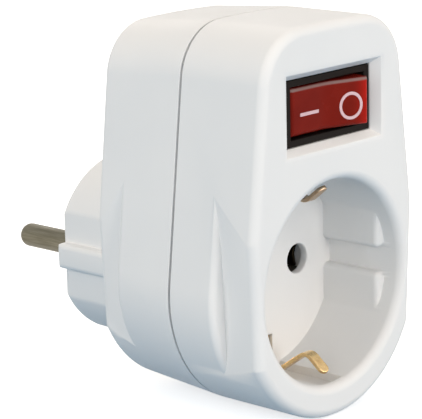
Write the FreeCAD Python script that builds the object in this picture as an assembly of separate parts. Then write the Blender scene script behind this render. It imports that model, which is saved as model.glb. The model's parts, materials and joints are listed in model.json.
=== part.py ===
import FreeCAD, Part
import math
import os
from FreeCAD import Vector

# Switched socket adapter: an earthed plug on the back of a two-part housing, a socket of the
# same system on the front and a lit rocker switch above the socket.
# Millimetres. The origin is the centre of the plug's engagement face. +Y runs along the pins,
# towards the wall, +Z is up and +X is to the right when the socket is seen from the front.

# Plug, to the sizes of the round 16 A earthed system
plug_length = 17.5
plug_radius = 18.5
plug_flat = 16.5
plug_rib_width = 5.3
plug_edge_round = 1.6
face_wall = 3.0
nose_wall = 2.0
pin_radius = 2.4
pin_length = 18.5
pin_spacing = 19.0
pin_tip_round = 2.0
pin_clearance = 0.03
pin_boss_radius = 4.3
pin_boss_length = 6.0
pin_shank_radius = 2.8
pin_collar_radius = 3.6
pin_collar_length = 1.4
pin_tenon_radius = 1.5
pin_head_radius = 2.0
pin_head_length = 0.7

# Housing, seen from the front: a round bottom, sides that lean inwards and a crowned top
rear_depth = 20.0
front_depth = 20.5
bottom_radius = 25.0
bottom_drop = 26.3
top_height = 50.2
side_lean_deg = 6.8
corner_radius = 11.0
crown_radius = 263.0
rear_draw_sides = 0.3
rear_draw_ends = 1.5
wall = 2.2
front_wall = 2.4
rear_wall = 2.0
front_round = 1.9
rear_round = 1.2
seam_gap = 0.5
lip_height = 2.0
lip_thickness = 1.0
lip_clearance = 0.1

# Grip: flat cuts on both sides, deepest where they end, that leave a raised band across the seam
grip_top = 18.5
grip_bottom = -14.5
grip_relief = 1.4
band_from_front = 9.3
band_from_rear = 5.7
band_round = 1.4

# Socket well
well_radius = 19.95
well_depth = 18.0
well_wall = 1.6
floor_thickness = 1.8
mouth_round = 1.8
pad_half_gap = 17.4
pad_from_front = 4.3
pad_edge_round = 1.1
groove_width = 5.0
groove_reach = 19.4
pin_hole_radius = 2.95
pin_hole_chamfer = 0.3
clip_channel_width = 7.0
clip_channel_reach = 21.3
clip_channel_from_front = 2.2
clip_channel_wall = 1.5
clip_slot_start = 13.6
clip_slot_clearance = 0.3

# Socket contacts, stamped from sheet
sheet = 0.8
spring_sheet = 0.6
contact_length = 8.6
contact_shoulder = 0.25
contact_gap = 4.5
contact_half_width = 3.4
contact_height = 3.85
contact_bend = 0.7
contact_skirt = 2.6
contact_flare = 0.55
contact_from_floor = 1.5
guide_gap = 0.2
guide_thickness = 0.9
guide_height = 6.0
guide_length = 8.0
bar_width = 5.0
bar_overhang = 3.2
line_out_setback = 7.7
line_in_setback = 14.1
line_in_height = 9.5
slot_clearance = 0.05
pass_clearance = 0.15

# Earth circuit
clip_width = 2.4
clip_foot_width = 5.0
clip_knee_depth = 15.5
clip_apex_depth = 7.4
clip_apex_reach = 14.8
clip_tip_depth = 3.1
clip_tip_reach = 18.3
clip_bend = 2.0
clip_tab_depth = 0.5
clip_tip_round = 1.1
bridge_half_width = 3.0
bridge_reach = 14.3
bridge_pad_reach = 5.2
bridge_pad_size = 2.6
earth_rivet_reach = 12.6
plug_contact_width = 5.0
plug_contact_length = 14.3
plug_contact_sink = 0.4
plug_contact_tip = 0.9
plug_contact_bend = 0.8
plug_contact_leg_reach = 15.4
plug_recess_width = 6.0
rivet_radius = 1.1
rivet_head_radius = 1.8
rivet_head_length = 0.7
rivet_clearance = 0.02

# Inner mouldings
carrier_thickness = 2.0
carrier_setback = 11.7
carrier_half_width = 18.0
carrier_half_height = 8.0
carrier_leg_x = 16.4
carrier_leg_z = 5.5
carrier_leg_radius = 1.5
carrier_post_radius = 2.0
carrier_post_z = 6.5
clamp_thickness = 2.4
clamp_half_height = 9.0
clamp_clearance = 0.25

# Case screws, driven from the back into the front shell
screw_switch_gap = 0.15
screw_from_side = 6.9
screw_radius = 1.3
screw_head_radius = 2.7
screw_head_length = 1.9
screw_length = 18.0
screw_clearance = 0.3
screw_core_clearance = 0.02
screw_recess = 6.0
screw_cross_width = 0.7
front_boss_radius = 2.8
rear_boss_radius = 3.6

# Switch: a black body with a frame, set in a bevelled recess
switch_from_top = 16.2
recess_width = 28.2
recess_height = 15.6
recess_depth = 2.0
recess_rim_wide = 0.75
recess_rim_deep = 0.3
frame_width = 24.6
frame_height = 12.6
frame_thickness = 1.2
frame_clearance = 0.1
frame_round = 0.3
opening_half_width = 10.7
opening_half_height = 4.95
switch_wall = 0.8
switch_depth = 18.0
switch_floor = 1.0
cutout_clearance = 0.15
panel_thickness = 5.5
panel_margin = 2.4
lug_reach = 0.7
lug_length = 2.4
lug_width = 4.0
lug_clearance = 0.05

# Rocker: a hollow tray with a shallow V face, shown with the ON side pressed
rocker_throw_deg = 16.0
pivot_depth = 5.9
face_rise = 3.8
rocker_half_length = 10.4
rocker_half_height = 4.5
rocker_wall = 1.1
rocker_side_wall = 0.9
rocker_skirt = 1.6
rocker_end_taper = 0.2
rocker_face_blend = 12.0
rocker_edge_round = 0.9
pivot_radius = 1.2
pivot_clearance = 0.05
pivot_end_gap = 0.15
stem_radius = 2.0
stem_reach = 3.6
bore_depth = 5.8
plunger_radius = 1.2
plunger_clearance = 0.05
plunger_start = 1.5
plunger_reach = 8.0
spring_wire_radius = 0.15
spring_turns = 4
spring_clearance = 0.08
mark_sink = 0.25
mark_proud = 0.03
mark_drop = 0.6
on_mark_length = 5.3
on_mark_width = 0.65
on_mark_centre = 5.2
off_mark_outer = 2.65
off_mark_inner = 2.05
off_mark_centre = 6.3

# Switch contacts
blade_tilt_deg = 6.0
blade_half_length = 6.5
blade_half_width = 1.7
blade_thickness = 0.5
blade_gap = 0.07
fulcrum_radius = 0.6
fulcrum_gap = 0.03
button_radius = 1.2
button_thickness = 0.5
button_gap = 0.05
contact_position = 5.5
fixed_button_radius = 1.5
terminal_half_width = 2.0
terminal_foot = 3.0
terminal_foot_gap = 0.05
stop_gap = 0.1
stop_width = 1.0
tab_overshoot = 1.0
lamp_tab_x = -8.2
lamp_tab_length = 6.5
lamp_tab_height = 2.0

# Lamp, its holder, resistor and leads
lamp_x = 6.0
lamp_radius = 1.95
lamp_front = 4.1
lamp_length = 7.4
lamp_glass = 0.35
lamp_pitch = 1.8
electrode_radius = 0.3
electrode_length = 4.5
electrode_sleeve = 0.02
lead_radius = 0.22
lead_bend = 0.5
lead_run_depth = 12.65
holder_leg = 0.6
holder_width = 2.8
holder_shelf = 0.7
holder_grip = 1.5
seat_gap = 0.05
resistor_x = 8.8
resistor_radius = 0.75
resistor_front = 13.25
resistor_length = 2.9
lead_floor_gap = 0.1
cross_lead_offset = 3.2
wire_radius = 0.8
wire_bend = 4.0
wire_setback = 10.3

# Places along Y that several pieces share
switch_height = top_height - switch_from_top
rear_y = -plug_length
parting_y = rear_y - rear_depth
front_y = parting_y - front_depth
floor_y = front_y + well_depth
floor_back_y = floor_y + floor_thickness
inner_rear_y = rear_y - rear_wall
front_seam_y = parting_y - seam_gap / 2
rear_seam_y = parting_y + seam_gap / 2
pin_x = pin_spacing / 2
boss_end_y = -face_wall - pin_boss_length
collar_end_y = boss_end_y - pin_collar_length
pin_bar_y = collar_end_y - sheet
pin_end_y = pin_bar_y - pin_head_length
clamp_y = pin_end_y - clamp_thickness
contact_top = contact_height + spring_sheet / 2
contact_y = floor_back_y + contact_from_floor
clip_leg_y = floor_back_y + rivet_head_length + guide_gap
bridge_y = clip_leg_y + sheet
foot_y = bridge_y + sheet
line_out_y = floor_back_y + line_out_setback
carrier_y = floor_back_y + carrier_setback
line_in_y = floor_back_y + line_in_setback
nose_inner = plug_radius - nose_wall
nose_half = plug_flat - nose_wall
frame_y = front_y + recess_depth
switch_body_y = frame_y + frame_thickness
switch_floor_y = front_y + switch_depth - switch_floor
switch_back_y = front_y + switch_depth
pivot_y = front_y + pivot_depth
fulcrum_reach = plunger_reach + blade_gap + blade_thickness + fulcrum_gap + fulcrum_radius
fulcrum_y = pivot_y + fulcrum_reach
REACH = 100.0


def box(x0, x1, y0, y1, z0, z1):
    return Part.makeBox(x1 - x0, y1 - y0, z1 - z0, Vector(x0, y0, z0))


def rod_y(radius, y0, y1, x=0.0, z=0.0):
    return Part.makeCylinder(radius, y1 - y0, Vector(x, y0, z), Vector(0, 1, 0))


def rod_z(radius, z0, z1, x, y):
    return Part.makeCylinder(radius, z1 - z0, Vector(x, y, z0), Vector(0, 0, 1))


def fused(shapes):
    whole = shapes[0].fuse(shapes[1:]) if len(shapes) > 1 else shapes[0]
    return whole.removeSplitter()


def mirrored_x(shape):
    return shape.mirror(Vector(0, 0, 0), Vector(1, 0, 0))


def mirrored_z(shape):
    return shape.mirror(Vector(0, 0, 0), Vector(0, 0, 1))


def turned(shape, degrees, x, y):
    """A copy of shape, turned about the line through (x, y) along Z."""
    copy = shape.copy()
    copy.rotate(Vector(x, y, 0), Vector(0, 0, 1), degrees)
    return copy


def edges_at_y(shape, y):
    """The edges that lie wholly in the plane at y."""
    found = []
    for edge in shape.Edges:
        box_y = edge.BoundBox
        if abs(box_y.YMin - y) < 1e-4 and abs(box_y.YMax - y) < 1e-4:
            found.append(edge)
    return found


def along(point, direction, distance):
    return (point[0] + direction[0] * distance, point[1] + direction[1] * distance)


def unit(a, b):
    length = math.hypot(b[0] - a[0], b[1] - a[1])
    return ((b[0] - a[0]) / length, (b[1] - a[1]) / length)


PLANES = {
    "yz": lambda u, v, w: Vector(w, u, v),
    "xz": lambda u, v, w: Vector(u, w, v),
    "xy": lambda u, v, w: Vector(u, v, w),
}


def side_edges(points, offset, bend, place):
    """One side of a bent strip: lines and arcs at an offset to the left of its centre line."""
    edges = []
    heads = [unit(a, b) for a, b in zip(points, points[1:])]
    left = [(-h[1], h[0]) for h in heads]
    here = along(points[0], left[0], offset)
    for i in range(1, len(points) - 1):
        before, after = heads[i - 1], heads[i]
        across = before[0] * after[1] - before[1] * after[0]
        turn = math.atan2(across, before[0] * after[0] + before[1] * after[1])
        setback = bend * math.tan(abs(turn) / 2)
        sign = 1 if turn > 0 else -1
        start = along(along(points[i], before, -setback), left[i - 1], offset)
        end = along(along(points[i], after, setback), left[i], offset)
        centre = along(along(points[i], before, -setback), left[i - 1], sign * bend)
        middle = (left[i - 1][0] + left[i][0], left[i - 1][1] + left[i][1])
        scale = (offset - sign * bend) / math.hypot(*middle)
        bulge = (centre[0] + middle[0] * scale, centre[1] + middle[1] * scale)
        edges.append(Part.LineSegment(place(*here), place(*start)).toShape())
        edges.append(Part.Arc(place(*start), place(*bulge), place(*end)).toShape())
        here = end
    last = along(points[-1], left[-1], offset)
    edges.append(Part.LineSegment(place(*here), place(*last)).toShape())
    return edges


def strip(points, thickness, bend, plane, low, high):
    """Sheet metal bent along a centre line in one plane, as wide as from low to high."""
    put = PLANES[plane]
    half = thickness / 2

    def place(u, v):
        return put(u, v, low)

    one = side_edges(points, half, bend, place)
    other = side_edges(points, -half, bend, place)
    caps = []
    first = (one[0].firstVertex(), other[0].firstVertex())
    last = (one[-1].lastVertex(), other[-1].lastVertex())
    for edges in (first, last):
        caps.append(Part.LineSegment(edges[0].Point, edges[1].Point).toShape())
    wire = Part.Wire(Part.__sortEdges__(one + other + caps))
    return Part.Face(wire).extrude(put(0, 0, high) - put(0, 0, low))


def lead(points, radius, bend):
    """A round wire through the points, with an arc at each corner."""
    corners = [Vector(*p) for p in points]
    edges = []
    here = corners[0]
    for before, at, after in zip(corners, corners[1:], corners[2:]):
        into = (at - before).normalize()
        out = (after - at).normalize()
        setback = bend * math.tan(into.getAngle(out) / 2)
        start = at - into * setback
        end = at + out * setback
        inward = (out - into).normalize()
        centre_distance = math.hypot(setback, bend)
        middle = at + inward * (centre_distance - bend)
        edges.append(Part.LineSegment(here, start).toShape())
        edges.append(Part.Arc(start, middle, end).toShape())
        here = end
    edges.append(Part.LineSegment(here, corners[-1]).toShape())
    path = Part.Wire(edges)
    ring = Part.Wire(Part.makeCircle(radius, corners[0], (corners[1] - corners[0]).normalize()))
    return Part.Solid(path.makePipeShell([ring], True, False))


def rectangle_wire(width, height, y, centre_z):
    corners = [(-1, -1), (1, -1), (1, 1), (-1, 1), (-1, -1)]
    return Part.makePolygon([Vector(u * width / 2, y, centre_z + v * height / 2) for u, v in corners])


def half_width(z, side_inset=0.0, end_inset=0.0):
    """Half the outline's width at height z, below its top corners."""
    lean = math.radians(side_lean_deg)
    radius = bottom_radius - side_inset
    centre_z = -bottom_drop + end_inset + radius
    if z > centre_z + radius * math.sin(lean):
        return (radius - (z - centre_z) * math.sin(lean)) / math.cos(lean)
    return math.sqrt(radius**2 - (z - centre_z) ** 2)


def outline(y, side_inset=0.0, end_inset=0.0):
    """The housing's outline at y, drawn in by one amount at the sides and one at the ends."""
    lean = math.radians(side_lean_deg)
    cos, sin = math.cos(lean), math.sin(lean)
    low_r = bottom_radius - side_inset
    low_z = -bottom_drop + end_inset + low_r
    corner = corner_radius - side_inset
    crown = crown_radius - end_inset
    crown_z = top_height - end_inset - crown
    slope = sin / cos
    level = (low_r - corner) / cos + low_z * slope
    a = 1 + slope**2
    b = -2 * (level * slope + crown_z)
    c = level**2 + crown_z**2 - (crown - corner) ** 2
    corner_z = (-b + math.sqrt(b * b - 4 * a * c)) / (2 * a)
    corner_x = level - corner_z * slope
    away = unit((0, crown_z), (corner_x, corner_z))
    middle = unit((0, 0), (cos + away[0], sin + away[1]))
    tangent_low = (low_r * cos, low_z + low_r * sin)
    tangent_side = (corner_x + corner * cos, corner_z + corner * sin)
    shoulder = (corner_x + corner * middle[0], corner_z + corner * middle[1])
    tangent_top = (crown * away[0], crown_z + crown * away[1])

    def at(point, side=1):
        return Vector(side * point[0], y, point[1])

    bottom = (0, low_z - low_r)
    summit = (0, crown_z + crown)
    edges = [
        Part.Arc(at(tangent_low, -1), at(bottom), at(tangent_low)).toShape(),
        Part.LineSegment(at(tangent_low), at(tangent_side)).toShape(),
        Part.Arc(at(tangent_side), at(shoulder), at(tangent_top)).toShape(),
        Part.Arc(at(tangent_top), at(summit), at(tangent_top, -1)).toShape(),
        Part.Arc(at(tangent_top, -1), at(shoulder, -1), at(tangent_side, -1)).toShape(),
        Part.LineSegment(at(tangent_side, -1), at(tangent_low, -1)).toShape(),
    ]
    return Part.Wire(edges)


def between(y0, insets0, y1, insets1):
    """The solid between two outlines, each with its side and end insets."""
    return Part.makeLoft([outline(y0, *insets0), outline(y1, *insets1)], True, True)


def grip_section(y, inset):
    """The four-sided outline between the two grip planes at y, drawn in by the inset."""
    top_x, bottom_x = half_width(grip_top), half_width(grip_bottom)
    slope = (top_x - bottom_x) / (grip_top - grip_bottom)
    shift = inset * math.hypot(1, slope)
    high, low = top_height + REACH, -bottom_drop - REACH / 2
    high_x = top_x + slope * (high - grip_top) - shift
    low_x = top_x + slope * (low - grip_top) - shift
    corners = [(-low_x, low), (low_x, low), (high_x, high), (-high_x, high), (-low_x, low)]
    return Part.makePolygon([Vector(x, y, z) for x, z in corners])


def grip_prism(inset):
    """What lies between the two grip planes where they are deepest, drawn in by the inset."""
    return Part.Face(grip_section(front_y - REACH / 2, inset)).extrude(Vector(0, 2 * REACH, 0))


def grip_wedge(shallow_y, deep_y):
    """What the tilted grips leave: they cut less at the shallow end than at the deep one."""
    run = deep_y - shallow_y
    over_y = deep_y + run / 2
    under_y = shallow_y - run / 2
    sections = [grip_section(under_y, -grip_relief * 3 / 2), grip_section(over_y, grip_relief / 2)]
    return Part.makeLoft(sections, True, True)


def draw_at(y):
    """Side and end insets of the back part at y: its walls draw in towards the wall side."""
    share = (y - parting_y) / rear_depth
    return rear_draw_sides * share, rear_draw_ends * share


def housing_front():
    """The front part's outer form."""
    full = between(front_y, (0, 0), front_seam_y, (0, 0))
    band_y = front_y + band_from_front
    core = full.common(grip_wedge(front_y, band_y))
    core = core.makeFillet(front_round, edges_at_y(core, front_y))
    band = full.common(box(-REACH, REACH, band_y, front_seam_y + 1, -REACH, REACH))
    band = band.makeFillet(band_round, edges_at_y(band, band_y))
    return core.fuse(band)


def housing_rear():
    """The back part's outer form, without the plug."""
    full = between(rear_seam_y, draw_at(rear_seam_y), rear_y, draw_at(rear_y))
    band_y = rear_y - band_from_rear
    core = full.common(grip_wedge(rear_y, band_y))
    core = core.makeFillet(rear_round, edges_at_y(core, rear_y))
    band = full.common(box(-REACH, REACH, rear_seam_y - 1, band_y, -REACH, REACH))
    band = band.makeFillet(band_round, edges_at_y(band, band_y))
    return core.fuse(band)


def screw_places():
    """Both case screws stand just above the switch."""
    z = switch_height + opening_half_height + switch_wall + screw_switch_gap + front_boss_radius
    x = half_width(z) - screw_from_side
    return [(-x, z), (x, z)]


def clip_channels(shape_for):
    """The same feature at the top and the bottom of the well."""
    upper = shape_for()
    return [upper, mirrored_z(upper)]


def front_shell():
    outer = housing_front()
    cavity = between(front_y + front_wall, (wall, wall), front_seam_y + 1, (wall, wall))
    rebate_inset = wall - lip_thickness
    insets = (rebate_inset,) * 2
    rebate = between(front_seam_y - lip_height, insets, front_seam_y + 1, insets)
    shell = outer.cut([cavity.common(grip_prism(wall)), rebate.common(grip_prism(rebate_inset))])

    channel_half = clip_channel_width / 2
    block_half = channel_half + clip_channel_wall
    block_reach = clip_channel_reach + clip_channel_wall
    stand_y = front_y + front_wall / 2
    solids = [rod_y(well_radius + well_wall, stand_y, floor_back_y)]
    solids.append(box(-block_half, block_half, stand_y, floor_back_y, -block_reach, block_reach))
    panel_x = frame_width / 2 + panel_margin
    panel_z = frame_height / 2 + panel_margin
    panel_back_y = front_y + panel_thickness
    low_z, high_z = switch_height - panel_z, switch_height + panel_z
    solids.append(box(-panel_x, panel_x, stand_y, panel_back_y, low_z, high_z))
    for x, z in screw_places():
        solids.append(rod_y(front_boss_radius, stand_y, parting_y, x, z))
    for side in (-1, 1):
        for edge in (-1, 1):
            near = contact_half_width + spring_sheet / 2 + guide_gap
            low, high = sorted((edge * near, edge * (near + guide_thickness)))
            x = side * pin_x
            half = guide_height / 2
            solids.append(box(x + low, x + high, floor_y + 1, floor_back_y + guide_length, -half, half))
    for side in (-1, 1):
        near, far = bridge_pad_reach - bridge_pad_size / 2, bridge_pad_reach + bridge_pad_size / 2
        low, high = sorted((side * near, side * far))
        solids.append(box(-bridge_half_width, bridge_half_width, floor_y + 1, bridge_y, low, high))
    insets = (wall / 2,) * 2
    boundary = between(front_y, insets, foot_y + guide_length, insets).common(grip_prism(wall / 2))
    inner = [solid.common(boundary) for solid in solids]
    shell = fused([shell] + inner)

    well = rod_y(well_radius, front_y - 1, floor_y)
    for side in (-1, 1):
        well = well.cut(well_pads(side))
    shell = shell.cut([well, well_mouth()])

    channels = clip_channels(
        lambda: box(
            -channel_half, channel_half, front_y + clip_channel_from_front, floor_y,
            clip_slot_start, clip_channel_reach
        )
    )
    slot_half = clip_width / 2 + clip_slot_clearance
    slots = clip_channels(
        lambda: box(
            -slot_half, slot_half, floor_y - 1, floor_back_y + 1, clip_slot_start, clip_channel_reach
        )
    )
    cuts = channels + slots
    for x in (-pin_x, pin_x):
        cuts.append(rod_y(pin_hole_radius, floor_y - 1, floor_back_y + 1, x))
        cuts.append(
            Part.makeCone(
                pin_hole_radius + pin_hole_chamfer, pin_hole_radius, pin_hole_chamfer,
                Vector(x, floor_y, 0), Vector(0, 1, 0)
            )
        )
    pocket_w, pocket_h = frame_width + 2 * frame_clearance, frame_height + 2 * frame_clearance
    outer_wire = rectangle_wire(recess_width, recess_height, front_y, switch_height)
    inner_wire = rectangle_wire(pocket_w, pocket_h, frame_y, switch_height)
    cuts.append(Part.makeLoft([outer_wire, inner_wire], True, True))
    cuts.append(recess_rim(pocket_w, pocket_h))
    cuts.append(switch_block(pocket_w / 2, pocket_h / 2, frame_y - 0.001, switch_body_y))
    body_x = opening_half_width + switch_wall + cutout_clearance
    body_z = opening_half_height + switch_wall + cutout_clearance
    cuts.append(switch_block(body_x, body_z, frame_y, panel_back_y + 1))
    for x, z in screw_places():
        cuts.append(rod_y(screw_radius + screw_core_clearance, screw_tip_y() - 1, parting_y + 1, x, z))
    return shell.cut(cuts).removeSplitter()


def recess_rim(floor_width, floor_height):
    """What the broken edge round the recess takes away: a shallow frustum, wider than the recess."""
    share = recess_rim_deep / recess_depth
    wide = 2 * recess_rim_wide
    outer = rectangle_wire(recess_width + wide, recess_height + wide, front_y, switch_height)
    at_wall = (
        recess_width + share * (floor_width - recess_width),
        recess_height + share * (floor_height - recess_height),
    )
    inner = rectangle_wire(at_wall[0], at_wall[1], front_y + recess_rim_deep, switch_height)
    return Part.makeLoft([outer, inner], True, True)


def well_pads(side):
    """The raised pads on one side of the well: two with rounded edges, and what is between them."""
    pad_y = front_y + pad_from_front
    inner_x, groove_z = side * pad_half_gap, groove_width / 2
    parts = []
    for end in (-1, 1):
        low, high = sorted((inner_x, side * (well_radius + 1)))
        bottom, top = sorted((end * groove_z, end * well_radius))
        pad = box(low, high, pad_y, floor_y + 1, bottom, top)
        rounded = []
        for edge in pad.Edges:
            bounds = edge.BoundBox
            at_front = abs(bounds.YMax - pad_y) < 1e-4
            inner = abs(bounds.XMin - inner_x) < 1e-4 and abs(bounds.XMax - inner_x) < 1e-4
            at_groove = max(abs(bounds.ZMin - end * groove_z), abs(bounds.ZMax - end * groove_z)) < 1e-4
            if at_front + inner + at_groove == 2:
                rounded.append(edge)
        parts.append(pad.makeFillet(pad_edge_round, rounded))
    low, high = sorted((side * groove_reach, side * (well_radius + 1)))
    parts.append(box(low, high, pad_y + pad_edge_round, floor_y + 1, -well_radius, well_radius))
    return fused(parts)


def well_mouth():
    """What the rounded mouth of the well takes away: a disc with a hollowed rim."""
    wide, inner_y = well_radius + mouth_round, front_y + mouth_round
    bulge = mouth_round * (1 - math.sqrt(0.5))
    corners = [Vector(wide, front_y, 0), Vector(wide, front_y - 1, 0), Vector(0, front_y - 1, 0)]
    corners += [Vector(0, inner_y, 0), Vector(well_radius, inner_y, 0)]
    edges = [Part.LineSegment(start, end).toShape() for start, end in zip(corners, corners[1:])]
    middle = Vector(well_radius + bulge, front_y + bulge, 0)
    edges.append(Part.Arc(corners[-1], middle, corners[0]).toShape())
    return Part.Face(Part.Wire(edges)).revolve(Vector(0, 0, 0), Vector(0, 1, 0), 360)


def switch_block(half_x, half_z, y0, y1):
    return box(-half_x, half_x, y0, y1, switch_height - half_z, switch_height + half_z)


def nose_outline_solid(y0, y1):
    """The plug's round body with two flats, each with a rib down its middle."""
    flats = box(-plug_flat, plug_flat, y0, y1, -REACH, REACH)
    half = plug_rib_width / 2
    ribs = box(-plug_radius - 1, plug_radius + 1, y0, y1, -half, half)
    disc = rod_y(plug_radius, y0, y1)
    return fused([disc.common(flats), disc.common(ribs)])


def rear_shell():
    outer = housing_rear()
    cavity_end = [wall + inset for inset in draw_at(inner_rear_y)]
    cavity = between(rear_seam_y, (wall,) * 2, inner_rear_y, cavity_end).common(grip_prism(wall))
    shell = outer.cut(cavity)

    nose = nose_outline_solid(inner_rear_y, 0)
    nose = nose.makeFillet(plug_edge_round, edges_at_y(nose, 0))
    rear_boss_stop = parting_y
    boss_end = rear_y - rear_wall / 2
    bosses = [rod_y(rear_boss_radius, rear_boss_stop, boss_end, x, z) for x, z in screw_places()]
    rest_x = carrier_half_width - carrier_leg_radius
    rest_z = carrier_half_height - carrier_leg_radius
    carrier_back_y = carrier_y + carrier_thickness
    for x in (-rest_x, rest_x):
        for z in (-rest_z, rest_z):
            bosses.append(rod_y(carrier_leg_radius, carrier_back_y, boss_end, x, z))
    drawn = [wall / 2 + inset for inset in draw_at(rear_y)]
    room = between(parting_y - lip_height, (wall / 2,) * 2, rear_y, drawn)
    lip_outer = wall - lip_thickness + lip_clearance
    lip_top = front_seam_y - lip_height + lip_clearance
    outside = between(lip_top, (lip_outer,) * 2, rear_seam_y + 1, (lip_outer,) * 2)
    inside = between(lip_top - 1, (wall,) * 2, rear_seam_y + 2, (wall,) * 2)
    lip = outside.common(grip_prism(lip_outer)).cut(inside.common(grip_prism(wall)))
    keep_out = [rod_y(well_radius + well_wall + lip_clearance, front_y, floor_back_y + lip_clearance)]
    for x, z in screw_places():
        keep_out.append(rod_y(front_boss_radius + lip_clearance, front_y, parting_y, x, z))
    lip = lip.cut(keep_out)
    grips = grip_prism(wall / 2)
    shell = fused([shell, lip, nose] + [boss.common(room).common(grips) for boss in bosses])

    hollow = rod_y(nose_inner, inner_rear_y - 1, -face_wall).common(
        box(-nose_half, nose_half, inner_rear_y - 1, -face_wall, -REACH, REACH)
    )
    shell = shell.cut(hollow)
    pin_bosses = [rod_y(pin_boss_radius, boss_end_y, -face_wall / 2, x) for x in (-pin_x, pin_x)]
    shell = fused([shell] + pin_bosses)
    cuts = [rod_y(pin_shank_radius + pin_clearance, boss_end_y - 1, 1, x) for x in (-pin_x, pin_x)]
    for x, z in screw_places():
        cuts.append(rod_y(screw_radius + screw_clearance, parting_y - 1, rear_y + 1, x, z))
        cuts.append(rod_y(screw_head_radius + screw_clearance, rear_y - screw_recess, rear_y + 1, x, z))
    half = plug_recess_width / 2
    recess_floor = plug_radius - plug_contact_sink - sheet
    window_y = -plug_contact_length
    for side in (-1, 1):
        low, high = sorted((side * recess_floor, side * (plug_radius + 1)))
        cuts.append(box(-half, half, window_y - sheet, 1, low, high))
        low, high = sorted((side * (nose_inner - 1), side * plug_radius))
        cuts.append(box(-half, half, window_y - sheet, window_y + sheet, low, high))
    return shell.cut(cuts).removeSplitter()


def plug_pin(x):
    """A pin: what shows is thinner than its shank in the moulding, and a head holds it to its bar."""
    shaft = rod_y(pin_radius, -pin_tip_round, pin_length, x)
    shaft = shaft.makeFillet(pin_tip_round, edges_at_y(shaft, pin_length))
    shank = rod_y(pin_shank_radius, boss_end_y, 0, x)
    collar = rod_y(pin_collar_radius, collar_end_y, boss_end_y, x)
    tenon = rod_y(pin_tenon_radius, pin_bar_y, collar_end_y, x)
    head = rod_y(pin_head_radius, pin_end_y, pin_bar_y, x)
    return fused([shaft, shank, collar, tenon, head])


def socket_contact(x):
    """A folded spring contact, open below, that grips a pin between its two leaves."""
    inner = contact_gap / 2 + spring_sheet / 2
    side = [
        (inner + contact_flare, -contact_skirt),
        (inner, 0.0),
        (contact_half_width, contact_gap / 2 - contact_shoulder),
        (contact_half_width, contact_height),
    ]
    points = [(x - u, v) for u, v in side] + [(x + u, v) for u, v in reversed(side)]
    folded = strip(points, spring_sheet, contact_bend, "xz", contact_y, contact_y + contact_length)
    return folded.cut(joint_rivet_shank(x, rivet_clearance))


def joint_rivet_shank(x, extra=0.0):
    y = contact_y + contact_length / 2
    return rod_z(rivet_radius + extra, contact_top - spring_sheet, contact_top + sheet, x, y)


def contact_rivets():
    """The rivets that join the live and neutral contacts to their bars."""
    parts = []
    y = contact_y + contact_length / 2
    for x in (-pin_x, pin_x):
        low = contact_top - spring_sheet
        high = contact_top + sheet
        lower = rod_z(rivet_head_radius, low - rivet_head_length, low, x, y)
        upper = rod_z(rivet_head_radius, high, high + rivet_head_length, x, y)
        parts.append(fused([joint_rivet_shank(x), lower, upper]))
    return Part.makeCompound(parts)


def bar_face(corners, y):
    points = [Vector(x, y, z) for x, z in corners]
    return Part.Face(Part.makePolygon(points + points[:1])).extrude(Vector(0, sheet, 0))


def tab_slot(x, y):
    half = sheet / 2 + slot_clearance
    tall = terminal_half_width + slot_clearance
    return box(x - half, x + half, y - 1, y + sheet + 1, switch_height - tall, switch_height + tall)


def line_out_bar():
    """From the switch down to the live contact."""
    low, high = pin_x - bar_width / 2, pin_x + bar_width / 2
    arm = terminal_half_width + sheet
    near = contact_position - bar_width / 2
    corners = [
        (low, contact_top), (high, contact_top), (high, switch_height + arm),
        (near, switch_height + arm), (near, switch_height - arm), (low, switch_height - arm),
    ]
    riser = bar_face(corners, line_out_y)
    foot = box(low, high, contact_y + 1, line_out_y + sheet, contact_top, contact_top + sheet)
    shape = fused([riser, foot])
    return shape.cut([tab_slot(contact_position, line_out_y), joint_rivet_shank(pin_x, rivet_clearance)])


def line_in_bar():
    """From the live pin up to the middle of the switch."""
    low, high = pin_x - bar_width / 2, pin_x + bar_width / 2
    arm = terminal_half_width + sheet
    corners = [
        (low, line_in_height), (high, line_in_height), (high, switch_height + arm),
        (-bar_width / 2, switch_height + arm), (-bar_width / 2, switch_height - arm),
        (low, switch_height - arm),
    ]
    riser = bar_face(corners, line_in_y)
    run = box(low, high, line_in_y, collar_end_y, line_in_height, line_in_height + sheet)
    tag = box(low, high, pin_bar_y, collar_end_y, -bar_overhang, line_in_height + sheet)
    shape = fused([riser, run, tag])
    tenon = rod_y(pin_tenon_radius + rivet_clearance, pin_bar_y - 1, 0, pin_x)
    return shape.cut([tab_slot(0.0, line_in_y), tenon])


def neutral_bar():
    """From the neutral pin to the neutral contact."""
    low, high = -pin_x - bar_width / 2, -pin_x + bar_width / 2
    run = box(low, high, contact_y + 1, collar_end_y, contact_top, contact_top + sheet)
    tag = box(low, high, pin_bar_y, collar_end_y, -bar_overhang, contact_top + sheet)
    shape = fused([run, tag])
    return shape.cut([
        rod_y(pin_tenon_radius + rivet_clearance, pin_bar_y - 1, 0, -pin_x),
        joint_rivet_shank(-pin_x, rivet_clearance),
    ])


def earth_rivet_shank(extra=0.0):
    return rod_y(rivet_radius + extra, clip_leg_y, foot_y + sheet, 0.0, earth_rivet_reach)


def earth_rivets():
    head = rod_y(rivet_head_radius, clip_leg_y - rivet_head_length, clip_leg_y, 0.0, earth_rivet_reach)
    tail_y = foot_y + sheet
    tail = rod_y(rivet_head_radius, tail_y, tail_y + rivet_head_length, 0.0, earth_rivet_reach)
    upper = fused([earth_rivet_shank(), head, tail])
    return Part.makeCompound([upper, mirrored_z(upper)])


def earth_bridge():
    half = bridge_half_width
    plate = box(-half, half, bridge_y, bridge_y + sheet, -bridge_reach, bridge_reach)
    hole = earth_rivet_shank(rivet_clearance)
    return plate.cut([hole, mirrored_z(hole)])


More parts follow.
